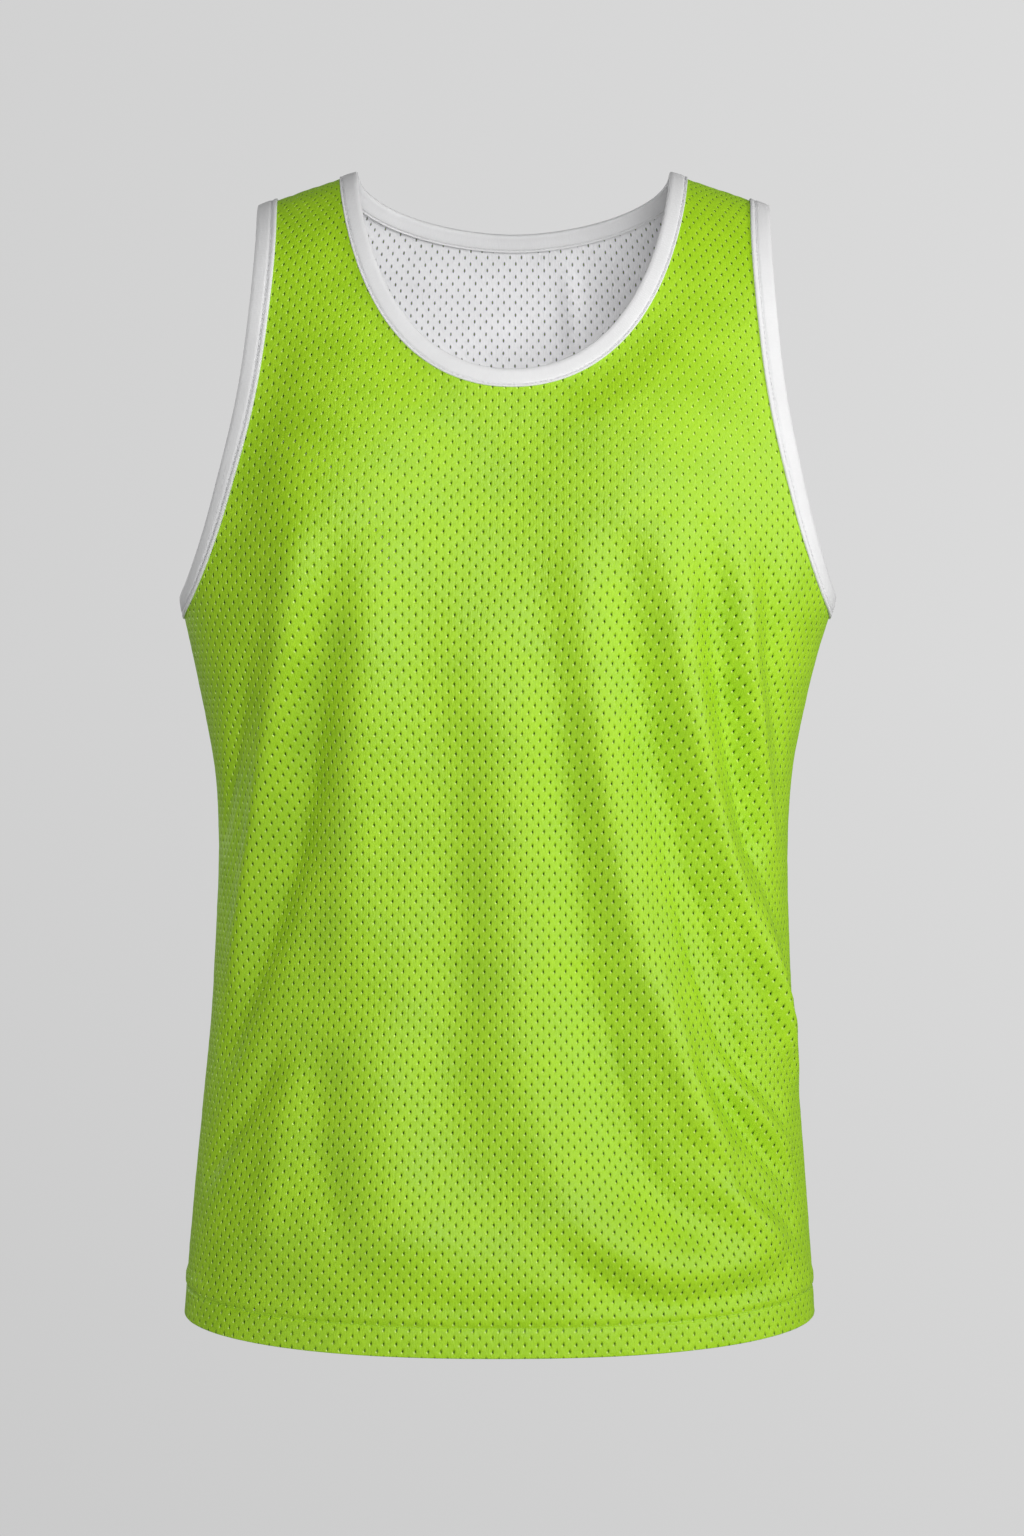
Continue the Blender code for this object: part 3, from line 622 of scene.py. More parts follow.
# perforated cloth: every hole stands in its own diamond of the knit
meshForm = {
    "across": 0.0081,
    "down": 0.0090,
    "limeHole": (0.00058, 0.00140),
    "whiteHole": (0.00052, 0.00115),
    "whitePhase": (0.0023, 0.0019),      # the inner rows stand beside the outer ones
    "corners": 8,
    "rimDepth": 0.00050,
    "clearCut": 0.0090,      # holes start here from a bound edge, just under its tape
    "clearSeam": 0.0025,
    "clearStitch": 0.0024,
    "edgeMargin": 0.0010,    # a cell is left whole this far past its own height from an edge
    "stitchMargin": 0.0016,
    "spacing": 0.0042,
    "hemShare": 0.8,         # share of the spacing along the hem,
    "stitchShare": 0.7,      # and beside its stitching
    "samples": 400,
    "shoulderSamples": 40,
    "flankSamples": 200,
    "rowsAbove": 8,          # rows of cells looked for above the neck point
    "weld": 1e-7,
    "columns": ("u", "v", "reach", "opening"),
    "tight": (               # where the knit is drawn tight its holes are smaller
        (-0.120, -0.010, 0.110, 0.70),
        (0.120, -0.010, 0.110, 0.70),
        (-0.080, 0.195, 0.075, 0.72),
        (0.125, 0.215, 0.085, 0.60),
    ),
}


def openingAt(flat, size):
    share = np.ones(len(flat))
    for u, v, reach, opening in meshForm["tight"] if size == meshForm["limeHole"] else ():
        share = share - (1 - opening) * bell(np.hypot(flat[:, 0] - u, flat[:, 1] - v), reach) * share
    return share


def insideLoop(loop, points):
    inside = np.zeros(len(points), bool)
    x, y = points.T
    for (x0, y0), (x1, y1) in zip(loop, np.roll(loop, -1, axis=0)):
        if y0 == y1:
            continue
        crosses = (y0 > y) != (y1 > y)
        inside ^= crosses & (x < (x1 - x0) * (y - y0) / (y1 - y0) + x0)
    return inside


def holeRing(centres, size):
    turn = np.arange(meshForm["corners"]) * 2 * math.pi / meshForm["corners"]
    ring = np.stack([np.cos(turn), np.sin(turn)], axis=1) * size / 2
    return centres[:, None] + ring[None] * openingAt(centres, size)[:, None, None]


def latticeKey(flat):
    # which diamond a place is in, as whole numbers
    f = meshForm
    a, b = 2 * flat[:, 0] / f["across"], 2 * flat[:, 1] / f["down"]
    s, t = 2 * np.round((a + b) / 2), 2 * np.round((a - b) / 2)
    return np.stack([(s + t) / 2, (s - t) / 2], axis=1).astype(int)


def inPlane(flat):
    return np.column_stack([flat, np.zeros(len(flat))])


def oneOf(keys, chosen):
    chosen = set(map(tuple, chosen))
    return np.array([tuple(key) in chosen for key in keys])


def cellsOfPanel(outline, cuts, size, clearCut, steps):
    # the diamonds in one panel: those that stand whole, and those that have their hole alone
    f = meshForm
    half = np.array([f["across"], f["down"]]) / 2
    reach = [int(outline[:, 0].max() / half[0]) + 2, int(outline[:, 1].max() / half[1]) + 2]
    a, b = np.meshgrid(np.arange(-reach[0], reach[0] + 1), np.arange(-f["rowsAbove"], reach[1] + 1))
    keys = np.stack([a.ravel(), b.ravel()], axis=1)
    keys = keys[(keys.sum(axis=1) % 2) == 0]
    keys = keys[insideLoop(outline, keys * half)]
    centres = keys * half
    fromEdge = distanceTo(makeTree(inPlane(outline)), inPlane(centres))
    fromCut = distanceTo(makeTree(inPlane(cuts)), inPlane(centres))
    fromStitch = np.abs(steps(centres)) if steps else np.full(len(centres), 1.0)
    whole = (fromCut > clearCut) & (fromEdge > half[1] + f["edgeMargin"])
    whole &= fromStitch > half[1] + f["stitchMargin"]
    part = ~whole & (fromCut > clearCut) & (fromEdge > f["clearSeam"] + size[0] / 2)
    part &= fromStitch > f["clearStitch"]
    return half, keys[whole], keys[part]


def wholeCells(keys, half, size):
    # points, triangles, how deep each point is, and which points are each cell's corners
    corners = meshForm["corners"]
    aim = np.array([(1, 0), (0, 1), (-1, 0), (0, -1)])
    cornerKeys = keys[:, None] + aim[None]
    uniqueKeys, index = np.unique(cornerKeys.reshape(-1, 2), axis=0, return_inverse=True)
    index = index.reshape(-1, 4)
    rings = holeRing(keys * half, size)
    ringIndex = len(uniqueKeys) + np.arange(len(rings) * corners).reshape(-1, corners)
    perSide = corners // 4
    middle = (perSide + 1) // 2
    triangles = []
    for k in range(4):
        here, there = index[:, k], index[:, (k + 1) % 4]
        hole = [ringIndex[:, (k * perSide + n) % corners] for n in range(perSide + 1)]
        triangles.append(np.stack([here, there, hole[middle]], axis=1))
        for n in range(perSide):
            corner = here if n < middle else there
            triangles.append(np.stack([corner, hole[n + 1], hole[n]], axis=1))
    points = np.concatenate([uniqueKeys * half, rings.reshape(-1, 2)])
    deep = np.repeat([0.0, 1.0], [len(uniqueKeys), len(rings) * corners])
    return points, np.concatenate(triangles), deep, index


def perforate(outline, cuts, size, clearCut, steps, rows):
    # the holes and cells of one panel, in the flat: points, triangles, how deep each point is, and
    # where it is on the outline, or -1
    f = meshForm
    half, wholeKeys, partKeys = cellsOfPanel(outline, cuts, size, clearCut, steps)
    points, triangles, deep, index = wholeCells(wholeKeys, half, size)

    # the rest, up to the edges, round the holes that have no whole cell
    edges = {}
    for k in range(4):
        for pair in zip(index[:, k], index[:, (k + 1) % 4]):
            key = tuple(sorted(pair))
            edges[key] = edges.get(key, 0) + 1
    border = [key for key, uses in edges.items() if uses == 1]
    borderPoints = sorted({k for pair in border for k in pair})
    local = {k: n for n, k in enumerate(borderPoints)}
    partRings = holeRing(partKeys * half, size)
    places = [points[borderPoints], outline, *rows, partRings.reshape(-1, 2)]
    constraint = [(local[p], local[q]) for p, q in border]
    start = len(borderPoints)
    constraint += [(start + k, start + (k + 1) % len(outline)) for k in range(len(outline))]
    start += len(outline)
    for row in rows:
        constraint += [(start + k, start + k + 1) for k in range(len(row) - 1)]
        start += len(row)
    for ring in range(len(partRings)):
        base = start + ring * f["corners"]
        constraint += [(base + k, base + (k + 1) % f["corners"]) for k in range(f["corners"])]
    allPoints = np.concatenate(places)
    made = delaunay_2d_cdt([Vector(p) for p in allPoints], constraint, [], 0, f["weld"])
    madePoints = np.array([tuple(p) for p in made[0]])
    madeTriangles = np.array(made[2])
    middle = madePoints[madeTriangles].mean(axis=1)
    inKeys = latticeKey(middle)
    offset = (middle - inKeys * half) / (np.array(size) / 2) / openingAt(inKeys * half, size)[:, None]
    turn = (np.arange(f["corners"]) + 0.5) * 2 * math.pi / f["corners"]
    reachOut = (offset @ np.stack([np.cos(turn), np.sin(turn)])).max(axis=1)
    inHole = (reachOut < math.cos(math.pi / f["corners"])) & oneOf(inKeys, partKeys)
    keep = insideLoop(outline, middle) & ~oneOf(inKeys, wholeKeys) & ~inHole
    madeTriangles = madeTriangles[keep]

    total = len(points)
    target = np.empty(len(madePoints), int)
    extra, extraDeep, extraFrom = [], [], []
    for n, sources in enumerate(made[3]):
        known = [s for s in sources if s < len(borderPoints)]
        if known:
            target[n] = borderPoints[known[0]]
        else:
            target[n] = total + len(extra)
            extra.append(madePoints[n])
            extraDeep.append(1.0 if sources and sources[0] >= start else 0.0)
            onOutline = [s - len(borderPoints) for s in sources if s < len(borderPoints) + len(outline)]
            extraFrom.append(onOutline[0] if onOutline else -1)
    edgeOf = np.concatenate([np.full(total, -1), extraFrom])
    triangles = np.concatenate([triangles, target[madeTriangles]])
    return np.concatenate([points, extra]), triangles, np.concatenate([deep, extraDeep]), edgeOf


def panelOutline(side, lift, cutInset):
    # the cut edge of one panel, round from its neck: places on the body, each one's run, and the runs
    f = meshForm
    neck = insetLines(side, neckLine(side), -cutInset)[-1] if cutInset else neckLine(side)
    arm = insetLines(side, armholeLine(), cutInset)[-1] if cutInset else armholeLine()
    neck[0, 0], neck[-1, 1] = 0.0, 0.0
    arm[0, 0], arm[-1, 1] = quarterTurn, 0.0
    across = np.linspace(neck[-1, 0], arm[-1, 0], f["shoulderSamples"])
    shoulder = np.stack([across, np.zeros(len(across))], axis=1)
    corner = hemLine(side, lift, 2)[-1]
    down = np.linspace(arm[0, 1], corner[1], f["flankSamples"])
    flank = np.stack([np.full(len(down), quarterTurn), down], axis=1)
    runs = {
        "neck": evenly(side, neck, f["spacing"]),
        "shoulder": evenly(side, shoulder, f["spacing"]),
        "arm": evenly(side, arm[::-1], f["spacing"]),
        "flank": evenly(side, flank, f["spacing"]),
    }
    hem = evenly(side, hemLine(side, lift, f["samples"]), f["spacing"] * f["hemShare"])
    flip = (-1, 1)
    half = list(runs.items())
    other = [(name, (run * flip)[::-1]) for name, run in half[::-1]]
    ordered = half + [("hem", hem[::-1])] + other
    loop = np.concatenate([run[:-1] for name, run in ordered])
    names = np.concatenate([[name] * (len(run) - 1) for name, run in ordered])
    return loop, names, dict(ordered[:4], hem=hem, mirroredFlank=runs["flank"] * flip,
                             mirroredShoulder=runs["shoulder"] * flip)


def addPiece(name, mesh, material):
    mesh.materials.append(material)
    piece = bpy.data.objects.new(name, mesh)
    bpy.context.scene.collection.objects.link(piece)
    return piece


def smoothMesh(name, points, triangles):
    mesh = bpy.data.meshes.new(name)
    mesh.from_pydata(points.tolist(), [], triangles.tolist())
    mesh.polygons.foreach_set("use_smooth", np.ones(len(mesh.polygons), bool))
    mesh.update()
    return mesh


def hasArea(triangles):
    a, b, c = triangles.T
    return (a != b) & (b != c) & (a != c)


def meshObject(name, points, triangles, maps, material):
    rounded, index = np.unique(np.round(points, 6), axis=0, return_inverse=True)
    first = np.zeros(len(rounded), int)
    first[index] = np.arange(len(points))
    triangles = index.reshape(-1)[triangles]
    triangles = triangles[hasArea(triangles)]
    mesh = bpy.data.meshes.new(name)
    mesh.vertices.add(len(rounded))
    mesh.vertices.foreach_set("co", points[first].ravel())
    mesh.loops.add(triangles.size)
    mesh.loops.foreach_set("vertex_index", triangles.ravel())
    mesh.polygons.add(len(triangles))
    mesh.polygons.foreach_set("loop_start", np.arange(0, triangles.size, 3))
    mesh.polygons.foreach_set("use_smooth", np.ones(len(triangles), bool))
    for mapName, values in maps.items():
        layer = mesh.uv_layers.new(name=mapName)
        layer.data.foreach_set("uv", values[first][triangles].reshape(-1, 2).ravel())
    mesh.update(calc_edges=True)
    mesh.validate()
    return addPiece(name, mesh, material)


def gridTriangles(rows, columns, start, closed=False):
    r, c = np.meshgrid(np.arange(rows - 1), np.arange(columns if closed else columns - 1), indexing="ij")
    after = (c + 1) % columns
    a, b = r * columns + c, r * columns + after
    d, e = (r + 1) * columns + c, (r + 1) * columns + after
    quads = np.stack([a, b, e, a, e, d], axis=-1).reshape(-1, 3)
    return quads + start


turnForm = {
    "hemRoll": 7,            # rows round the fold at the lower edge
    "hemRise": 6,            # rows up the inside
    "hemFirst": 0.15,        # height of the first of them, as a share
    "allowance": (0.0, 0.0006, 0.0022, 0.006),    # depths of a seam allowance's rows, turned inside
    "lean": 0.00024,         # how far an allowance leans from the seam
    "caught": 0.15,          # share of its depth where its ends lie under the tapes
    "caughtStart": 0.012,
    "caughtFull": 0.030,
    "bakeShare": 0.98,       # the flat cut fills this much of its square for the export
    "bakeMargin": 0.01,
}


def turnedHem(side, pattern, trees, relief, hem, height, fold, hemLift):
    # the cloth rolls under at the lower edge and runs up inside
    flat = flatOf(pattern, hem)
    points, lift = relief(side, trees, hem, flat)
    normal = surfaceNormal(side, *hem.T)
    rows, maps = [], []
    for turn in np.linspace(0.0, math.pi, turnForm["hemRoll"]):
        sink = lift - fold * (1 - math.cos(turn))
        rows.append(points + normal * sink[:, None] - (0, 0, fold * math.sin(turn)))
        maps.append(flat + (0, fold * turn))
    for up in np.linspace(turnForm["hemFirst"], 1.0, turnForm["hemRise"]) * height:
        angle = hem[:, 0]
        place = np.stack([angle, dropOf(angle, hemHeight(side, angle) + hemLift + up)], axis=1)
        spot, lift = relief(side, trees, place, flatOf(pattern, place))
        sink = lift - 2 * fold
        rows.append(spot + surfaceNormal(side, *place.T) * sink[:, None])
        maps.append(flat + (0, fold * math.pi + up))
    return np.array(rows), np.array(maps)


def turnedSeam(side, pattern, trees, relief, line, away):
    # a seam allowance, turned to the inside along a side or shoulder seam
    flat = flatOf(pattern, line)
    points, lift = relief(side, trees, line, flat)
    normal = surfaceNormal(side, *line.T)
    rows, maps = [], []
    f = turnForm
    free = fade(distanceTo(trees["edges"], points), f["caughtStart"], f["caughtFull"])
    caught = f["caught"] + (1 - f["caught"]) * free
    for depth in f["allowance"]:
        lean = outward[side] * f["lean"] * (depth > 0)
        rows.append(points + normal * (lift - depth * caught)[:, None] + (0, lean, 0))
        maps.append(flat + np.array(away) * depth)
    return np.array(rows), np.array(maps)


def bakePlace(flat, span):
    return flat / span * turnForm["bakeShare"] + turnForm["bakeMargin"]


def faceTowards(piece, direction):
    # every face the same way round, with the sheet's front towards the back or front of the garment
    shape = bmesh.new()
    shape.from_mesh(piece.data)
    bmesh.ops.recalc_face_normals(shape, faces=shape.faces[:])
    lean = sum(face.normal.y * face.calc_area() for face in shape.faces)
    if lean * direction < 0:
        bmesh.ops.reverse_faces(shape, faces=shape.faces[:])
    shape.to_mesh(piece.data)
    shape.free()


def sheetOfCloth(name, side, relief, material, lift, cutInset, hemTurn, size, phase, facing):
    pattern = makePattern(side)
    trees = edgeTrees(side)
    loop, names, runs = panelOutline(side, lift, cutInset)
    outline = flatOf(pattern, loop) + phase
    bound = (names == "neck") | (names == "arm")
    cuts = outline[bound]

    def fromStitch(flat):
        place = placeOf(pattern, flat)
        return heightOf(*place.T) - hemHeight(side, place[:, 0]) - sewnForm["hemTurn"]

    rows = []
    if hemTurn:
        for step in sewnForm["stitchRows"]:
            line = hemLine(side, sewnForm["hemTurn"] + step, meshForm["samples"])
            line = evenly(side, line, meshForm["spacing"] * meshForm["stitchShare"])
            rows.append(flatOf(pattern, line)[1:-1])
    steps = fromStitch if hemTurn else None
    clearCut = meshForm["clearCut"] - cutInset
    flat, triangles, deep, edgeOf = perforate(outline, cuts, size, clearCut, steps, rows)
    place = placeOf(pattern, flat - phase)
    onEdge = edgeOf >= 0
    place[onEdge] = loop[edgeOf[onEdge]]
    points, height = relief(side, trees, place, flat - phase)
    height = height - meshForm["rimDepth"] * deep
    points = points + surfaceNormal(side, *place.T) * height[:, None]
    parts = [(points, flat, triangles)]

    hemDepth = hemTurn or liningForm["hemTurn"]
    grids = [turnedHem(side, pattern, trees, relief, runs["hem"], hemDepth, sewnForm["hemFold"], lift)]
    for key, away in (("flank", (1, 0)), ("mirroredFlank", (-1, 0)), ("shoulder", (0, -1)),
                      ("mirroredShoulder", (0, -1))):
        grids.append(turnedSeam(side, pattern, trees, relief, runs[key], away))
    for spots, maps in grids:
        count = spots.shape[:2]
        parts.append((spots.reshape(-1, 3), maps.reshape(-1, 2), gridTriangles(*count, 0)))
    starts = np.append(0, np.cumsum([len(p[0]) for p in parts]))[:-1]
    allPoints = np.concatenate([p[0] for p in parts])
    allFlat = np.concatenate([p[1] for p in parts])
    allTriangles = np.concatenate([p[2] + s for p, s in zip(parts, starts)])
    low, high = allFlat.min(axis=0), allFlat.max(axis=0)
    bake = bakePlace(allFlat - low, (high - low).max())
    opening = np.repeat(openingAt(allFlat, size)[:, None], 2, axis=1)
    maps = {"cloth": allFlat, "OFBake": bake, "opening": opening}
    piece = meshObject(name, allPoints, allTriangles, maps, material)
    faceTowards(piece, outward[side] * facing)
    x, y = outline.T
    area = abs(np.dot(x, np.roll(y, 1)) - np.dot(y, np.roll(x, 1))) / 2
    width, length = (high - low).tolist()
    area += hemDepth * width
    print(f"{name}: {len(piece.data.polygons)} triangles, cut {width:.3f} x {length:.3f} m")
    return piece, (width, length), float(area)


# a knit tape folded over a cut edge; heights are over the cloth
tapeForm = {
    "neckWidth": 0.0110,
    "armWidth": 0.0125,
    "spacing": 0.0030,
    "columns": ("across", "rise"),   # share of the width from the cut edge, and height over the cloth
    "face": {
        "neck": ((1.000, 0.00015), (0.994, 0.00085), (0.970, 0.00130), (0.900, 0.00125), (0.840, 0.00036),
                 (0.780, 0.00118), (0.700, 0.00136), (0.540, 0.00140), (0.360, 0.00138), (0.160, 0.00130)),
        "arm": ((1.000, 0.00015), (0.995, 0.00085), (0.975, 0.00130), (0.880, 0.00140), (0.790, 0.00122),
                (0.730, 0.00036), (0.665, 0.00120), (0.560, 0.00138), (0.360, 0.00138), (0.160, 0.00130)),
    },
    "reverse": {
        "neck": ((0.160, -0.00250), (0.360, -0.00305), (0.560, -0.00360), (0.740, -0.00400),
                 (0.790, -0.00395), (0.840, -0.00330), (0.890, -0.00405), (0.960, -0.00420),
                 (1.000, -0.00300)),
        "arm": ((0.160, -0.00250), (0.360, -0.00256), (0.560, -0.00254), (0.665, -0.00240),
                (0.730, -0.00165), (0.790, -0.00225), (0.890, -0.00238), (0.960, -0.00225),
                (1.000, -0.00150)),
    },
    "groove": {"neck": 0.840, "arm": 0.730},
    "stitchRise": {"neck": (0.00090, -0.00375), "arm": (0.00090, -0.00212)},
    "inside": ((1.000, -0.00130), (0.500, -0.00130), (0.100, -0.00110), (0.100, -0.00010),
               (0.500, 0.00005), (1.000, 0.00005)),
    "foldOut": 0.00130,
    "foldMiddle": -0.00060,
    "foldRise": 0.00190,
    "foldTurns": (62, 35, 10, -10, -35, -62),     # degrees round the folded edge
    "foldCut": 0.004,        # width of tape taken up by the fold
    "lengthRow": 6,          # the row along which the tape's length is measured
    "closing": 0.001,
}


def tapeRow(lines, normals, across, rise):
    # one line along the tape: between the inset lines, lifted off the cloth
    steps = len(lines) - 1
    k = min(int(across * steps), steps - 1)
    t = across * steps - k
    point = lines[k] * (1 - t) + lines[k + 1] * t
    normal = unit(normals[k] * (1 - t) + normals[k + 1] * t)
    return point + normal * rise


def tapeHalf(side, line, width):
    # an edge of one panel and its inset lines, with a section at every spacing
    lines = insetLines(side, line, width)
    for inset in lines:
        inset[0, 0] = line[0, 0]
        inset[-1, 1] = 0.0
    length = runLength(surfacePoint(side, *line.T))
    cells = round(length[-1] / tapeForm["spacing"])
    even = np.linspace(0.0, length[-1], cells + 1)
    lines = [np.stack([np.interp(even, length, column) for column in inset.T], axis=1) for inset in lines]
    points = [surfacePoint(side, *inset.T) for inset in lines]
    return points, [surfaceNormal(side, *inset.T) for inset in lines]


def mirrored(points):
    # the same on the garment's other side; its middle sways with height
    moved = points * (-1, 1, 1)
    moved[:, 0] += 2 * readTable(bodyForm, "sway", points[:, 2])
    return moved


def tapeLoop(which, sign):
    # both panels' edges joined into one loop of sections
    flip = (-1, 1, 1)
    lines, normals = [], []
    for side in ("front", "back"):
        if which == "neck":
            points, facing = tapeHalf(side, neckLine(side), -tapeForm["neckWidth"])
            points = [np.concatenate([mirrored(row)[:0:-1], row]) for row in points]
            facing = [np.concatenate([(row * flip)[:0:-1], row]) for row in facing]
        else:
            points, facing = tapeHalf(side, armholeLine(), tapeForm["armWidth"])
            if sign < 0:
                points, facing = [mirrored(row) for row in points], [row * flip for row in facing]
        lines.append(points)
        normals.append(facing)
    # front one way, back the other; they meet on the seams
    loopLines, loopNormals = [], []
    for k in range(len(lines[0])):
        for table, out in ((lines, loopLines), (normals, loopNormals)):
            a, b = table[0][k], table[1][k]
            head, tail = (a[0] + b[0]) / 2, (a[-1] + b[-1]) / 2
            out.append(np.concatenate([[head], a[1:-1], [tail], b[-2:0:-1]]))
    return loopLines, [unit(row) for row in loopNormals]


def bindEdge(name, which, sign, material):
    f = tapeForm
    lines, normals = tapeLoop(which, sign)
    rows = [tapeRow(lines, normals, across, rise) for across, rise in f["face"][which]]
    outwardRun = unit(lines[0] - lines[1])
    for degrees in f["foldTurns"]:
        turn = math.radians(degrees)
        rise = f["foldMiddle"] + f["foldRise"] * math.sin(turn)
        rows.append(lines[0] + normals[0] * rise + outwardRun * f["foldOut"] * math.cos(turn))
    rows += [tapeRow(lines, normals, across, rise) for across, rise in f["reverse"][which] + f["inside"]]
    rings = np.stack(rows, axis=1)
    rings = np.concatenate([rings, rings[:1]])
    count = rings.shape[1]
    length = runLength(rings[:, f["lengthRow"]])
    around = runLength(rings[0])
    flat = np.stack(np.meshgrid(length, around, indexing="ij"), axis=-1)
    bake = bakePlace(flat, length[-1])
    points = np.concatenate([rings, rings[:, :1]], axis=1)
    flat = np.concatenate([flat, flat[:, -1:] + (0, f["closing"])], axis=1)
    bake = np.concatenate([bake, bake[:, -1:] + (0, f["closing"])], axis=1)
    triangles = gridTriangles(len(rings), count + 1, 0)
    piece = loftObject(name, points.reshape(-1, 3), triangles, {"cloth": flat.reshape(-1, 2),
                                                                "OFBake": bake.reshape(-1, 2)}, material)
    seams = [tapeRow(lines, normals, f["groove"][which], rise) for rise in f["stitchRise"][which]]
    print(f"{name}: {len(piece.data.polygons)} triangles, {length[-1]:.3f} m round")
    return piece, float(length[-1]), seams, normals


def loftObject(name, points, triangles, maps, material):
    # welded where rows close on themselves, while each corner keeps its own place on the flat cut
    rounded, first, index = np.unique(np.round(points, 6), axis=0, return_index=True, return_inverse=True)
    index = index.reshape(-1)
    welded = index[triangles]
    good = hasArea(welded)
    mesh = smoothMesh(name, points[first], welded[good])
    for mapName, values in maps.items():
        layer = mesh.uv_layers.new(name=mapName)
        layer.data.foreach_set("uv", values[triangles[good]].reshape(-1, 2).ravel())
    return addPiece(name, mesh, material)


stitchForm = {
    "pitch": 0.0034,
    "length": 0.0026,
    "radius": 0.00026,
    "sides": 6,
    "flatness": 0.8,
    "sink": 0.9,             # share of the radius that a thread's ends dip
    "hemRise": 0.00012,
    "hemSpacing": 0.003,
    "ahead": 0.001,          # how far ahead the line is looked along
    "columns": ("along", "swell"),
    "shape": ((-0.50, 0.25), (-0.38, 0.80), (0.0, 1.0), (0.38, 0.80), (0.50, 0.25)),
}


def sewAlong(name, seams, material, closed=True):
    # a row of stitches along each line: short swollen threads that dip into the cloth at their ends
    f = stitchForm
    points, triangles = [], []
    for line, normal in seams:
        if closed:
            line, normal = np.concatenate([line, line[:1]]), np.concatenate([normal, normal[:1]])
        length = runLength(line)
        count = round(length[-1] / f["pitch"])
        for n in range(count):
            middle = (n + 0.5) * length[-1] / count
            spot = np.array([np.interp(middle, length, c) for c in line.T])
            ahead = np.array([np.interp(middle + f["ahead"], length, c) for c in line.T])
            up = unit(np.array([np.interp(middle, length, c) for c in normal.T]))
            along = unit(ahead - spot)
            acrossRun = np.cross(along, up)
            start = len(points) * f["sides"]
            for share, swell in f["shape"]:
                turn = np.arange(f["sides"]) * 2 * math.pi / f["sides"]
                ring = np.outer(np.cos(turn), acrossRun) + np.outer(np.sin(turn), up) * f["flatness"]
                sink = -f["sink"] * f["radius"] * (1 - swell)
                points.append(spot + along * share * f["length"] + up * sink + ring * f["radius"] * swell)
            triangles.append(gridTriangles(len(f["shape"]), f["sides"], start, closed=True))
    triangles = np.concatenate(triangles)
    piece = addPiece(name, smoothMesh(name, np.concatenate(points), triangles), material)
    print(f"{name}: {len(triangles)} triangles")
    return piece


knitForm = {
    # a painted highlight beside each hole, set off by lean towards the side that faces the light
    "highlightColumns": ("axis", "pitch", "size", "lean", "highlightSize"),
    "paintedHighlight": (("X", "Across", "Width", 0.00062, 0.00075), ("Y", "Down", "Height", -0.00085, 0.00085)),
    "holeEdge": 0.95,
    "highlightFade": (0.2, 1.2),
    "highlightOpening": (0.4, 1.0, 1.0, 0.75),      # the painted highlight is weaker where the holes stand open
    "unevenNoise": (260.0, 3.0),     # scale and detail
    "mottleNoise": (34.0, 4.0),
    "strokeNoise": (1.0, 2.0),
    "strokeScale": (820.0, 250.0, 1.0),
    "waleShare": 0.35,
    "courseShare": 0.20,
    "mottle": (0.3, 0.7),
    "strokes": (0.35, 0.65),
    "roughness": 0.05,       # either side of a finish's own
    "sheenRough": 0.5,
}


def socket(group, name, kind, way, value=None):
    made = group.interface.new_socket(name=name, in_out=way, socket_type=kind)
    if value is not None:
        made.default_value = value


def feed(tree, value, entry):
    # a number is set on the node itself, anything else is linked to it
    if isinstance(value, (int, float)):
        entry.default_value = value
    else:
        tree.links.new(value, entry)


def mathNode(tree, operation, *values):
    node = tree.nodes.new("ShaderNodeMath")
    node.operation = operation
    for value, entry in zip(values, node.inputs):
        feed(tree, value, entry)
    return node.outputs[0]


def rangeNode(tree, value, low, high, toLow=0.0, toHigh=1.0):
    node = tree.nodes.new("ShaderNodeMapRange")
    node.interpolation_type = "SMOOTHSTEP"
    for key, part in (("Value", value), ("From Min", low), ("From Max", high), ("To Min", toLow),
                      ("To Max", toHigh)):
        feed(tree, part, node.inputs[key])
    return node.outputs["Result"]


def noiseNode(tree, vector, scale, detail):
    node = tree.nodes.new("ShaderNodeTexNoise")
    node.inputs["Scale"].default_value = scale
    node.inputs["Detail"].default_value = detail
    tree.links.new(vector, node.inputs["Vector"])
    return node.outputs["Fac"]


def bumpInto(tree, height, distance, shader):
    bump = tree.nodes.new("ShaderNodeBump")
    bump.inputs["Distance"].default_value = distance
    tree.links.new(height, bump.inputs["Height"])
    tree.links.new(bump.outputs["Normal"], shader.inputs["Normal"])


def flatMap(tree, name):
    node = tree.nodes.new("ShaderNodeUVMap")
    node.uv_map = name
    return node.outputs["UV"]


def newMaterial(name):
    material = bpy.data.materials.new(name)
    material.use_nodes = True
    return material, material.node_tree, material.node_tree.nodes["Principled BSDF"]


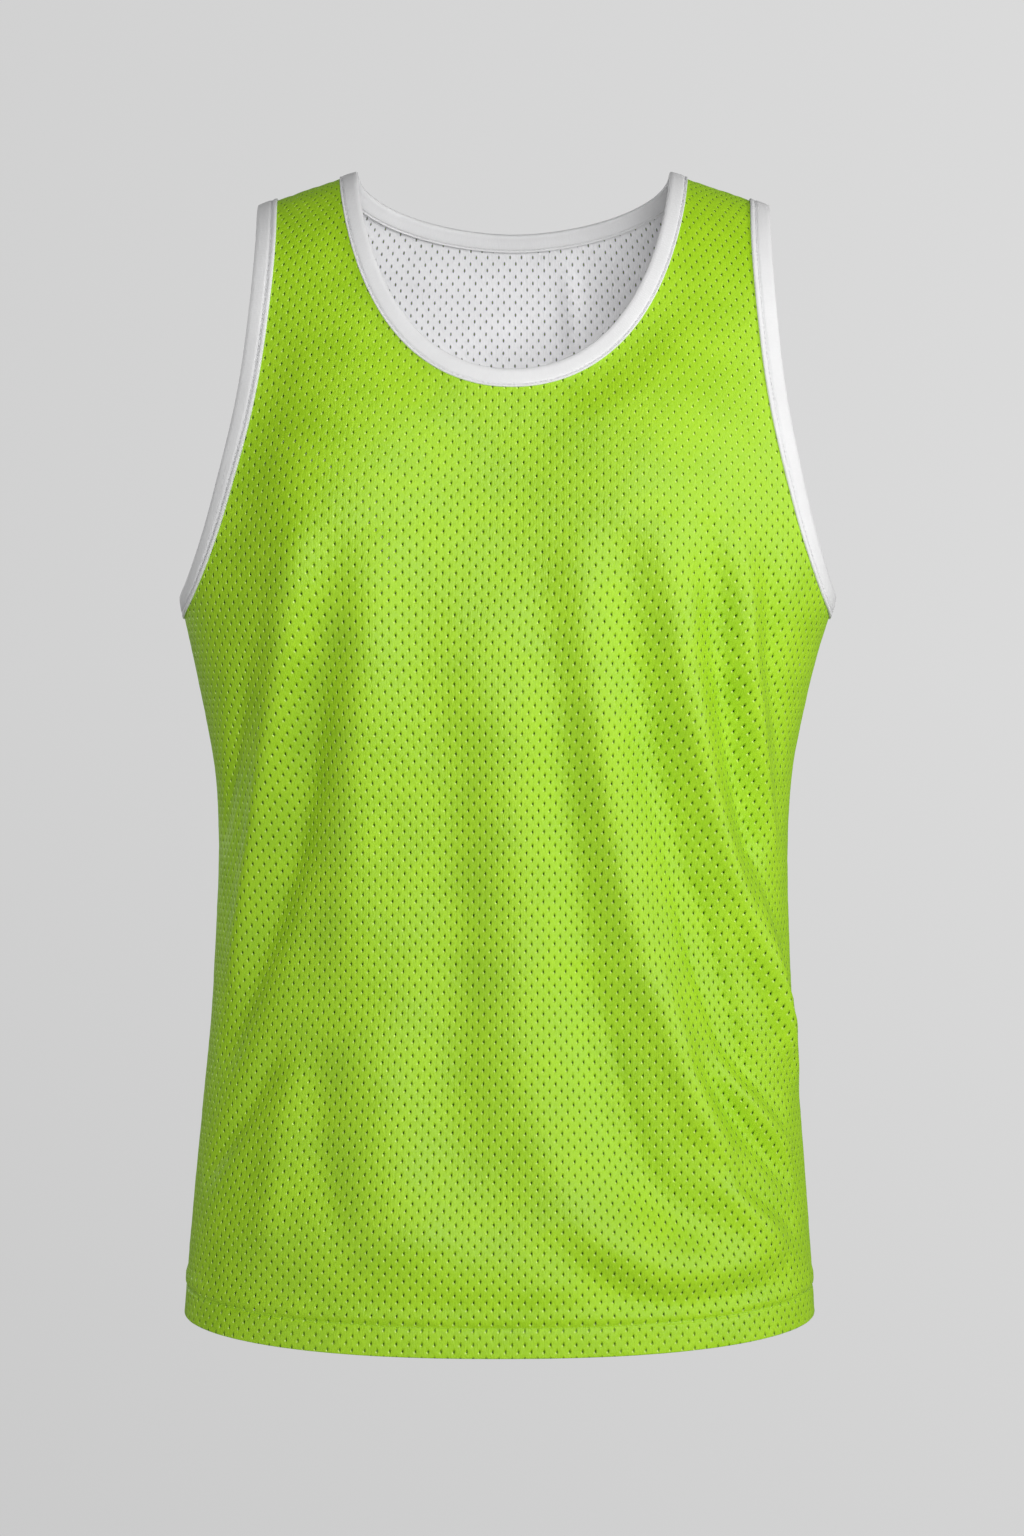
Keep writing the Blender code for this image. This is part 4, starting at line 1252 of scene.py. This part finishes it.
def makeHoleGroup():
    # where a place lies round the nearest hole of the staggered rows: the painted shade of its dark rim, a
    # painted highlight beside it on the side that faces the light, and its dimple
    group = bpy.data.node_groups.new("knitHoles", "ShaderNodeTree")
    socket(group, "Flat", "NodeSocketVector", "INPUT")
    for name, value in (("Across", 0.0081), ("Down", 0.0090), ("Width", 0.00085), ("Height", 0.0019),
                        ("Shade", 1.9), ("Reach", 2.5), ("Opening", 1.0)):
        socket(group, name, "NodeSocketFloat", "INPUT", value)
    for name in ("ShadeRing", "Dimple", "Highlight"):
        socket(group, name, "NodeSocketFloat", "OUTPUT")
    into, out = group.nodes.new("NodeGroupInput"), group.nodes.new("NodeGroupOutput")
    parts = group.nodes.new("ShaderNodeSeparateXYZ")
    group.links.new(into.outputs["Flat"], parts.inputs[0])
    found, highlights = [], []
    for shift in (0.0, 0.5):
        square, highlightSquare = [], []
        for axis, pitch, size, lean, highlightSize in knitForm["paintedHighlight"]:
            cell = mathNode(group, "DIVIDE", parts.outputs[axis], into.outputs[pitch])
            cell = mathNode(group, "ADD", cell, 0.5 + shift)
            cell = mathNode(group, "SUBTRACT", mathNode(group, "FLOORED_MODULO", cell, 1.0), 0.5)
            away = mathNode(group, "MULTIPLY", cell, into.outputs[pitch])
            fromHighlight = mathNode(group, "DIVIDE", mathNode(group, "ADD", away, lean), highlightSize)
            highlightSquare.append(mathNode(group, "MULTIPLY", fromHighlight, fromHighlight))
            half = mathNode(group, "MULTIPLY", into.outputs[size], 0.5)
            half = mathNode(group, "MULTIPLY", half, into.outputs["Opening"])
            away = mathNode(group, "DIVIDE", away, half)
            square.append(mathNode(group, "MULTIPLY", away, away))
        found.append(mathNode(group, "SQRT", mathNode(group, "ADD", *square)))
        highlights.append(mathNode(group, "SQRT", mathNode(group, "ADD", *highlightSquare)))
    nearest = mathNode(group, "MINIMUM", *found)
    for output, most in (("ShadeRing", "Shade"), ("Dimple", "Reach")):
        near = rangeNode(group, nearest, knitForm["holeEdge"], into.outputs[most], 1.0, 0.0)
        group.links.new(near, out.inputs[output])
    paintedHighlight = rangeNode(group, mathNode(group, "MINIMUM", *highlights), *knitForm["highlightFade"], 1.0, 0.0)
    closed = rangeNode(group, into.outputs["Opening"], *knitForm["highlightOpening"])
    group.links.new(mathNode(group, "MULTIPLY", paintedHighlight, closed), out.inputs["Highlight"])
    return group


def makeGrainGroup():
    # fine wales and courses of a warp knit, slightly uneven
    group = bpy.data.node_groups.new("knitGrain", "ShaderNodeTree")
    socket(group, "Flat", "NodeSocketVector", "INPUT")
    for name, value in (("Wale", 0.0009), ("Course", 0.0007), ("Unevenness", 0.4)):
        socket(group, name, "NodeSocketFloat", "INPUT", value)
    socket(group, "Height", "NodeSocketFloat", "OUTPUT")
    socket(group, "Mottle", "NodeSocketFloat", "OUTPUT")
    socket(group, "Strokes", "NodeSocketFloat", "OUTPUT")
    into, out = group.nodes.new("NodeGroupInput"), group.nodes.new("NodeGroupOutput")
    parts = group.nodes.new("ShaderNodeSeparateXYZ")
    group.links.new(into.outputs["Flat"], parts.inputs[0])
    noise = noiseNode(group, into.outputs["Flat"], *knitForm["unevenNoise"])
    wobble = mathNode(group, "MULTIPLY", noise, into.outputs["Unevenness"])
    waves = []
    for axis, pitch in (("X", "Wale"), ("Y", "Course")):
        turns = mathNode(group, "DIVIDE", parts.outputs[axis], into.outputs[pitch])
        turns = mathNode(group, "ADD", turns, wobble)
        waves.append(mathNode(group, "SINE", mathNode(group, "MULTIPLY", turns, 2 * math.pi)))
    wales = mathNode(group, "MULTIPLY", waves[0], knitForm["waleShare"])
    courses = mathNode(group, "MULTIPLY", waves[1], knitForm["courseShare"])
    fine = mathNode(group, "ADD", mathNode(group, "ADD", wales, courses), 0.5)
    group.links.new(fine, out.inputs["Height"])
    mottle = noiseNode(group, into.outputs["Flat"], *knitForm["mottleNoise"])
    group.links.new(mottle, out.inputs["Mottle"])
    lengthen = group.nodes.new("ShaderNodeVectorMath")
    lengthen.operation = "MULTIPLY"
    lengthen.inputs[1].default_value = knitForm["strokeScale"]
    group.links.new(into.outputs["Flat"], lengthen.inputs[0])
    strokes = noiseNode(group, lengthen.outputs[0], *knitForm["strokeNoise"])
    group.links.new(strokes, out.inputs["Strokes"])
    return group


holeGroup = makeHoleGroup()
grainGroup = makeGrainGroup()


def placeGroup(tree, group, vector, values):
    node = tree.nodes.new("ShaderNodeGroup")
    node.node_tree = group
    tree.links.new(vector, node.inputs["Flat"])
    for key, value in values.items():
        node.inputs[key].default_value = value
    return node


def mixColour(tree, factor, a, b):
    node = tree.nodes.new("ShaderNodeMix")
    node.data_type = "RGBA"
    tree.links.new(factor, node.inputs[0])
    for key, value in ((6, a), (7, b)):
        if isinstance(value, tuple):
            node.inputs[key].default_value = (*value, 1.0)
        else:
            tree.links.new(value, node.inputs[key])
    return node.outputs[2]


def clothMaterial(name, finish):
    material, tree, shader = newMaterial(name)
    flat = flatMap(tree, "cloth")
    grain = placeGroup(tree, grainGroup, flat, finish["grain"])
    mottle = rangeNode(tree, grain.outputs["Mottle"], *knitForm["mottle"])
    colour = mixColour(tree, mottle, finish["deep"], finish["colour"])
    shade = mathNode(tree, "MULTIPLY", grain.outputs["Height"], finish["grainShade"])
    colour = mixColour(tree, shade, colour, finish["pale"])
    strokes = rangeNode(tree, grain.outputs["Strokes"], *knitForm["strokes"])
    shade = mathNode(tree, "MULTIPLY", strokes, finish["strokeShade"])
    colour = mixColour(tree, shade, colour, finish["deep"])
    height = mathNode(tree, "MULTIPLY", grain.outputs["Height"], finish["grainHeight"])
    height = mathNode(tree, "SUBTRACT", height, mathNode(tree, "MULTIPLY", strokes, finish["strokeHeight"]))
    if "holes" in finish:
        holes = placeGroup(tree, holeGroup, flat, finish["holes"])
        share = tree.nodes.new("ShaderNodeSeparateXYZ")
        tree.links.new(flatMap(tree, "opening"), share.inputs[0])
        tree.links.new(share.outputs["X"], holes.inputs["Opening"])
        # a painted highlight on the lit side of each hole, and painted shade in and round it
        for output, amount, tint in (("Highlight", "highlightAmount", "paintedHighlight"), ("ShadeRing", "rimShade", "rim")):
            shade = mathNode(tree, "MULTIPLY", holes.outputs[output], finish[amount])
            colour = mixColour(tree, shade, colour, finish[tint])
        dip = mathNode(tree, "MULTIPLY", holes.outputs["Dimple"], finish["dimple"])
        height = mathNode(tree, "SUBTRACT", height, dip)
    # painted shade: the lining's face towards the lime layer, seen through its holes, is coloured dark
    # green
    if "behind" in finish:
        facing = tree.nodes.new("ShaderNodeNewGeometry")
        colour = mixColour(tree, facing.outputs["Backfacing"], colour, finish["behind"])
    tree.links.new(colour, shader.inputs["Base Color"])
    least, most = finish["rough"] - knitForm["roughness"], finish["rough"] + knitForm["roughness"]
    rough = rangeNode(tree, grain.outputs["Mottle"], *knitForm["mottle"], least, most)
    tree.links.new(rough, shader.inputs["Roughness"])
    bumpInto(tree, height, 1.0, shader)
    shader.inputs["Sheen Weight"].default_value = finish["sheen"]
    shader.inputs["Sheen Roughness"].default_value = knitForm["sheenRough"]
    shader.inputs["Sheen Tint"].default_value = (*finish["sheenTint"], 1.0)
    shader.inputs["Specular IOR Level"].default_value = finish["specular"]
    return material


def holeSizes(size, shade, reach):
    return {"Across": meshForm["across"], "Down": meshForm["down"], "Width": size[0], "Height": size[1],
            "Shade": shade, "Reach": reach}


limeFinish = {
    "colour": (0.378, 0.672, 0.006),
    "deep": (0.322, 0.602, 0.004),
    "pale": (0.440, 0.730, 0.018),
    "rough": 0.50,
    "sheen": 0.12,
    "sheenTint": (0.60, 1.0, 0.20),
    "specular": 0.42,
    "grain": {"Wale": 0.0010, "Course": 0.0008, "Unevenness": 0.7},
    "grainShade": 0.35,
    "grainHeight": 0.00005,
    "strokeShade": 0.5,
    "strokeHeight": 0.00010,
    "holes": holeSizes(meshForm["limeHole"], 2.1, 3.4),
    # painted highlight: a pale lime speck on the lit side of each hole
    "paintedHighlight": (0.740, 0.960, 0.240),
    "highlightAmount": 0.95,
    # painted shade: dark green in and round each hole, standing in for the shadow inside the knit
    "rim": (0.030, 0.130, 0.0),
    "rimShade": 0.86,
    "dimple": 0.00062,
}

whiteMeshFinish = {
    "colour": (0.83, 0.83, 0.84),
    "deep": (0.78, 0.78, 0.79),
    "pale": (0.87, 0.87, 0.88),
    "rough": 0.6,
    "sheen": 0.0,
    "sheenTint": (1.0, 1.0, 1.0),
    "specular": 0.25,
    "grain": {"Wale": 0.0010, "Course": 0.0008, "Unevenness": 0.7},
    "grainShade": 0.35,
    "grainHeight": 0.00005,
    "strokeShade": 0.4,
    "strokeHeight": 0.00006,
    "holes": holeSizes(meshForm["whiteHole"], 3.2, 3.8),
    "paintedHighlight": (0.87, 0.87, 0.88),
    "highlightAmount": 0.0,
    # painted shade: a dark grey spot in and round each hole of the lining
    "rim": (0.045, 0.045, 0.047),
    "rimShade": 0.95,
    "dimple": 0.00022,
    "behind": (0.040, 0.110, 0.003),     # painted shade, tinted green by the lime layer's light, on the face towards that layer
}

tapeFinish = {
    "colour": (0.785, 0.785, 0.790),
    "deep": (0.735, 0.735, 0.740),
    "pale": (0.825, 0.825, 0.830),
    "rough": 0.66,
    "sheen": 0.10,
    "sheenTint": (1.0, 1.0, 1.0),
    "specular": 0.35,
    "grain": {"Wale": 0.0007, "Course": 0.0009, "Unevenness": 0.4},
    "grainShade": 0.3,
    "grainHeight": 0.00005,
    "strokeShade": 0.3,
    "strokeHeight": 0.00003,
}

threadFinish = {
    "white": (0.84, 0.84, 0.85),
    "lime": (0.40, 0.72, 0.03),
    "darker": 0.78,
    "rough": 0.5,
    "twistScale": 900.0,
    "twistUneven": 2.0,
    "twistHeight": 0.0001,
}


def threadMaterial(name, colour):
    material, tree, shader = newMaterial(name)
    where = tree.nodes.new("ShaderNodeTexCoord")
    twist = tree.nodes.new("ShaderNodeTexWave")
    twist.inputs["Scale"].default_value = threadFinish["twistScale"]
    twist.inputs["Distortion"].default_value = threadFinish["twistUneven"]
    tree.links.new(where.outputs["Object"], twist.inputs["Vector"])
    darker = tuple(c * threadFinish["darker"] for c in colour)
    tree.links.new(mixColour(tree, twist.outputs["Fac"], darker, colour), shader.inputs["Base Color"])
    shader.inputs["Roughness"].default_value = threadFinish["rough"]
    bumpInto(tree, twist.outputs["Fac"], threadFinish["twistHeight"], shader)
    return material


limeMesh = clothMaterial("lime_mesh", limeFinish)
whiteMesh = clothMaterial("white_mesh", whiteMeshFinish)
whiteTape = clothMaterial("white_tape", tapeFinish)
whiteThread = threadMaterial("white_thread", threadFinish["white"])
limeThread = threadMaterial("lime_thread", threadFinish["lime"])
print("finishes made")

panels = {}
for side in ("front", "back"):
    panels[side] = sheetOfCloth(side + "_mesh", side, outerRelief, limeMesh, sewnForm["hemFold"], 0.0,
                                sewnForm["hemTurn"], meshForm["limeHole"], (0.0, 0.0), 1)
    panels[side + "_lining"] = sheetOfCloth(
        side + "_lining_mesh", side, innerRelief, whiteMesh, liningForm["hem"], liningForm["cutInset"],
        0.0, meshForm["whiteHole"], meshForm["whitePhase"], -1)

bindings = {}
for name, which, sign in (("neck", "neck", 1), ("armhole_right", "arm", 1), ("armhole_left", "arm", -1)):
    bindings[name] = bindEdge(name + "_tape", which, sign, whiteTape)

for name, (piece, length, seams, normals) in bindings.items():
    thread = sewAlong(name + "_stitching", [(seams[0], normals[-1]), (seams[1], -normals[-1])], whiteThread)
    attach(thread, bodyName)
    node = name + "_binding" if name == "neck" else name.replace("armhole", "armhole_binding")
    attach(piece, bodyName)
    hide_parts(node)

hemSeams = []
for side in ("front", "back"):
    pattern, trees = makePattern(side), edgeTrees(side)
    line = hemLine(side, sewnForm["hemTurn"], meshForm["samples"])
    line = evenly(side, line, stitchForm["hemSpacing"])
    spots, height = outerRelief(side, trees, line, flatOf(pattern, line))
    normal = surfaceNormal(side, *line.T)
    hemSeams.append((spots + normal * (height + stitchForm["hemRise"])[:, None], normal))
hemThread = sewAlong("hem_stitching", hemSeams, limeThread, closed=False)
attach(hemThread, bodyName)

for node, (piece, flat, area) in panels.items():
    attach(piece, bodyName)
    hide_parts(node)
print("pieces ride and replace their solids")

stageForm = {
    "floor": -1.25,
    "radius": 1.7,
    "grey": (0.62, 0.62, 0.62),
    "rough": 0.9,
    "corners": 96,
    "fade": (0.45, 0.98),    # shares of the radius between which the floor fades out
    "backdrop": 0.672,
    "sideways": 0.26,
    "downward": 0.24,
}

floorMesh = bpy.data.meshes.new("floor")
count = stageForm["corners"]
turns = np.linspace(0, 2 * math.pi, count, endpoint=False)
rim = np.stack([np.cos(turns), np.sin(turns), 0 * turns], axis=1) * stageForm["radius"]
slices = [(0, k + 1, (k + 1) % count + 1) for k in range(count)]
floorMesh.from_pydata([(0, 0, 0), *rim.tolist()], [], slices)
floor = bpy.data.objects.new("floor", floorMesh)
floor.location.z = stageForm["floor"]
bpy.context.scene.collection.objects.link(floor)

floorMaterial, tree, shader = newMaterial("floor")
shader.inputs["Base Color"].default_value = (*stageForm["grey"], 1.0)
shader.inputs["Roughness"].default_value = stageForm["rough"]
where = tree.nodes.new("ShaderNodeTexCoord")
reach = tree.nodes.new("ShaderNodeVectorMath")
reach.operation = "LENGTH"
tree.links.new(where.outputs["Object"], reach.inputs[0])
near, far = (share * stageForm["radius"] for share in stageForm["fade"])
tree.links.new(rangeNode(tree, reach.outputs["Value"], near, far, 1.0, 0.0), shader.inputs["Alpha"])
floorMesh.materials.append(floorMaterial)

lightForm = {
    "columns": ("name", "place", "size", "power", "spread", "colour"),
    "rows": (
        ("side", (2.20, -1.10, -0.05), 1.3, 11.5, 110.0, (1.0, 0.995, 0.985)),
        ("front", (0.45, -2.80, 0.12), 1.4, 16.1, 100.0, (1.0, 1.0, 1.0)),
        ("fill", (-2.00, -1.60, -0.95), 1.6, 8.4, 180.0, (1.0, 1.0, 1.0)),
        ("behind", (-1.70, 2.30, 0.50), 1.5, 24.0, 180.0, (1.0, 1.0, 1.0)),
    ),
    "aim": (0.0, 0.0, -0.07),
    "ambient": 0.150,
}

world = bpy.data.worlds.new("studio")
bpy.context.scene.world = world
world.use_nodes = True
tree = world.node_tree
backdrop = tree.nodes["Background"]
ambient = tree.nodes.new("ShaderNodeBackground")
ambient.inputs["Color"].default_value = (1.0, 1.0, 1.0, 1.0)
ambient.inputs["Strength"].default_value = lightForm["ambient"]
direction = tree.nodes.new("ShaderNodeTexCoord")
parts = tree.nodes.new("ShaderNodeSeparateXYZ")
tree.links.new(direction.outputs["Generated"], parts.inputs[0])
sideways = mathNode(tree, "MULTIPLY", parts.outputs["X"], stageForm["sideways"])
downward = mathNode(tree, "MINIMUM", parts.outputs["Z"], 0.0)
downward = mathNode(tree, "MULTIPLY", downward, stageForm["downward"])
grey = mathNode(tree, "ADD", mathNode(tree, "ADD", sideways, downward), stageForm["backdrop"])
tree.links.new(grey, backdrop.inputs["Color"])
seen = tree.nodes.new("ShaderNodeLightPath")
choose = tree.nodes.new("ShaderNodeMixShader")
tree.links.new(seen.outputs["Is Camera Ray"], choose.inputs[0])
tree.links.new(ambient.outputs[0], choose.inputs[1])
tree.links.new(backdrop.outputs[0], choose.inputs[2])
tree.links.new(choose.outputs[0], tree.nodes["World Output"].inputs["Surface"])

for name, place, size, power, spread, colour in lightForm["rows"]:
    lamp = bpy.data.lights.new(name, "AREA")
    lamp.shape = "DISK"
    lamp.size = size
    lamp.energy = power
    lamp.spread = math.radians(spread)
    lamp.color = colour
    holder = bpy.data.objects.new(name, lamp)
    holder.location = place
    holder.visible_camera = False
    holder.rotation_euler = (Vector(lightForm["aim"]) - Vector(place)).to_track_quat("-Z", "Y").to_euler()
    bpy.context.scene.collection.objects.link(holder)

cameraForm = {
    "place": (0.0, -2.8, -0.33),
    "aimDrop": 0.066,
    "focalPixels": 4210.0,
    "imageHeight": 1536.0,
    "sensor": 36.0,
}

lens = bpy.data.cameras.new("camera")
lens.sensor_width = cameraForm["sensor"]
lens.lens = cameraForm["focalPixels"] / cameraForm["imageHeight"] * cameraForm["sensor"]
camera = bpy.data.objects.new("camera", lens)
camera.location = cameraForm["place"]
aim = Vector((0.0, -cameraForm["place"][1], -cameraForm["aimDrop"]))
camera.rotation_euler = aim.to_track_quat("-Z", "Y").to_euler()
bpy.context.scene.collection.objects.link(camera)
bpy.context.scene.camera = camera
bpy.context.scene.view_settings.view_transform = "Standard"
print("stage, lights and camera set")
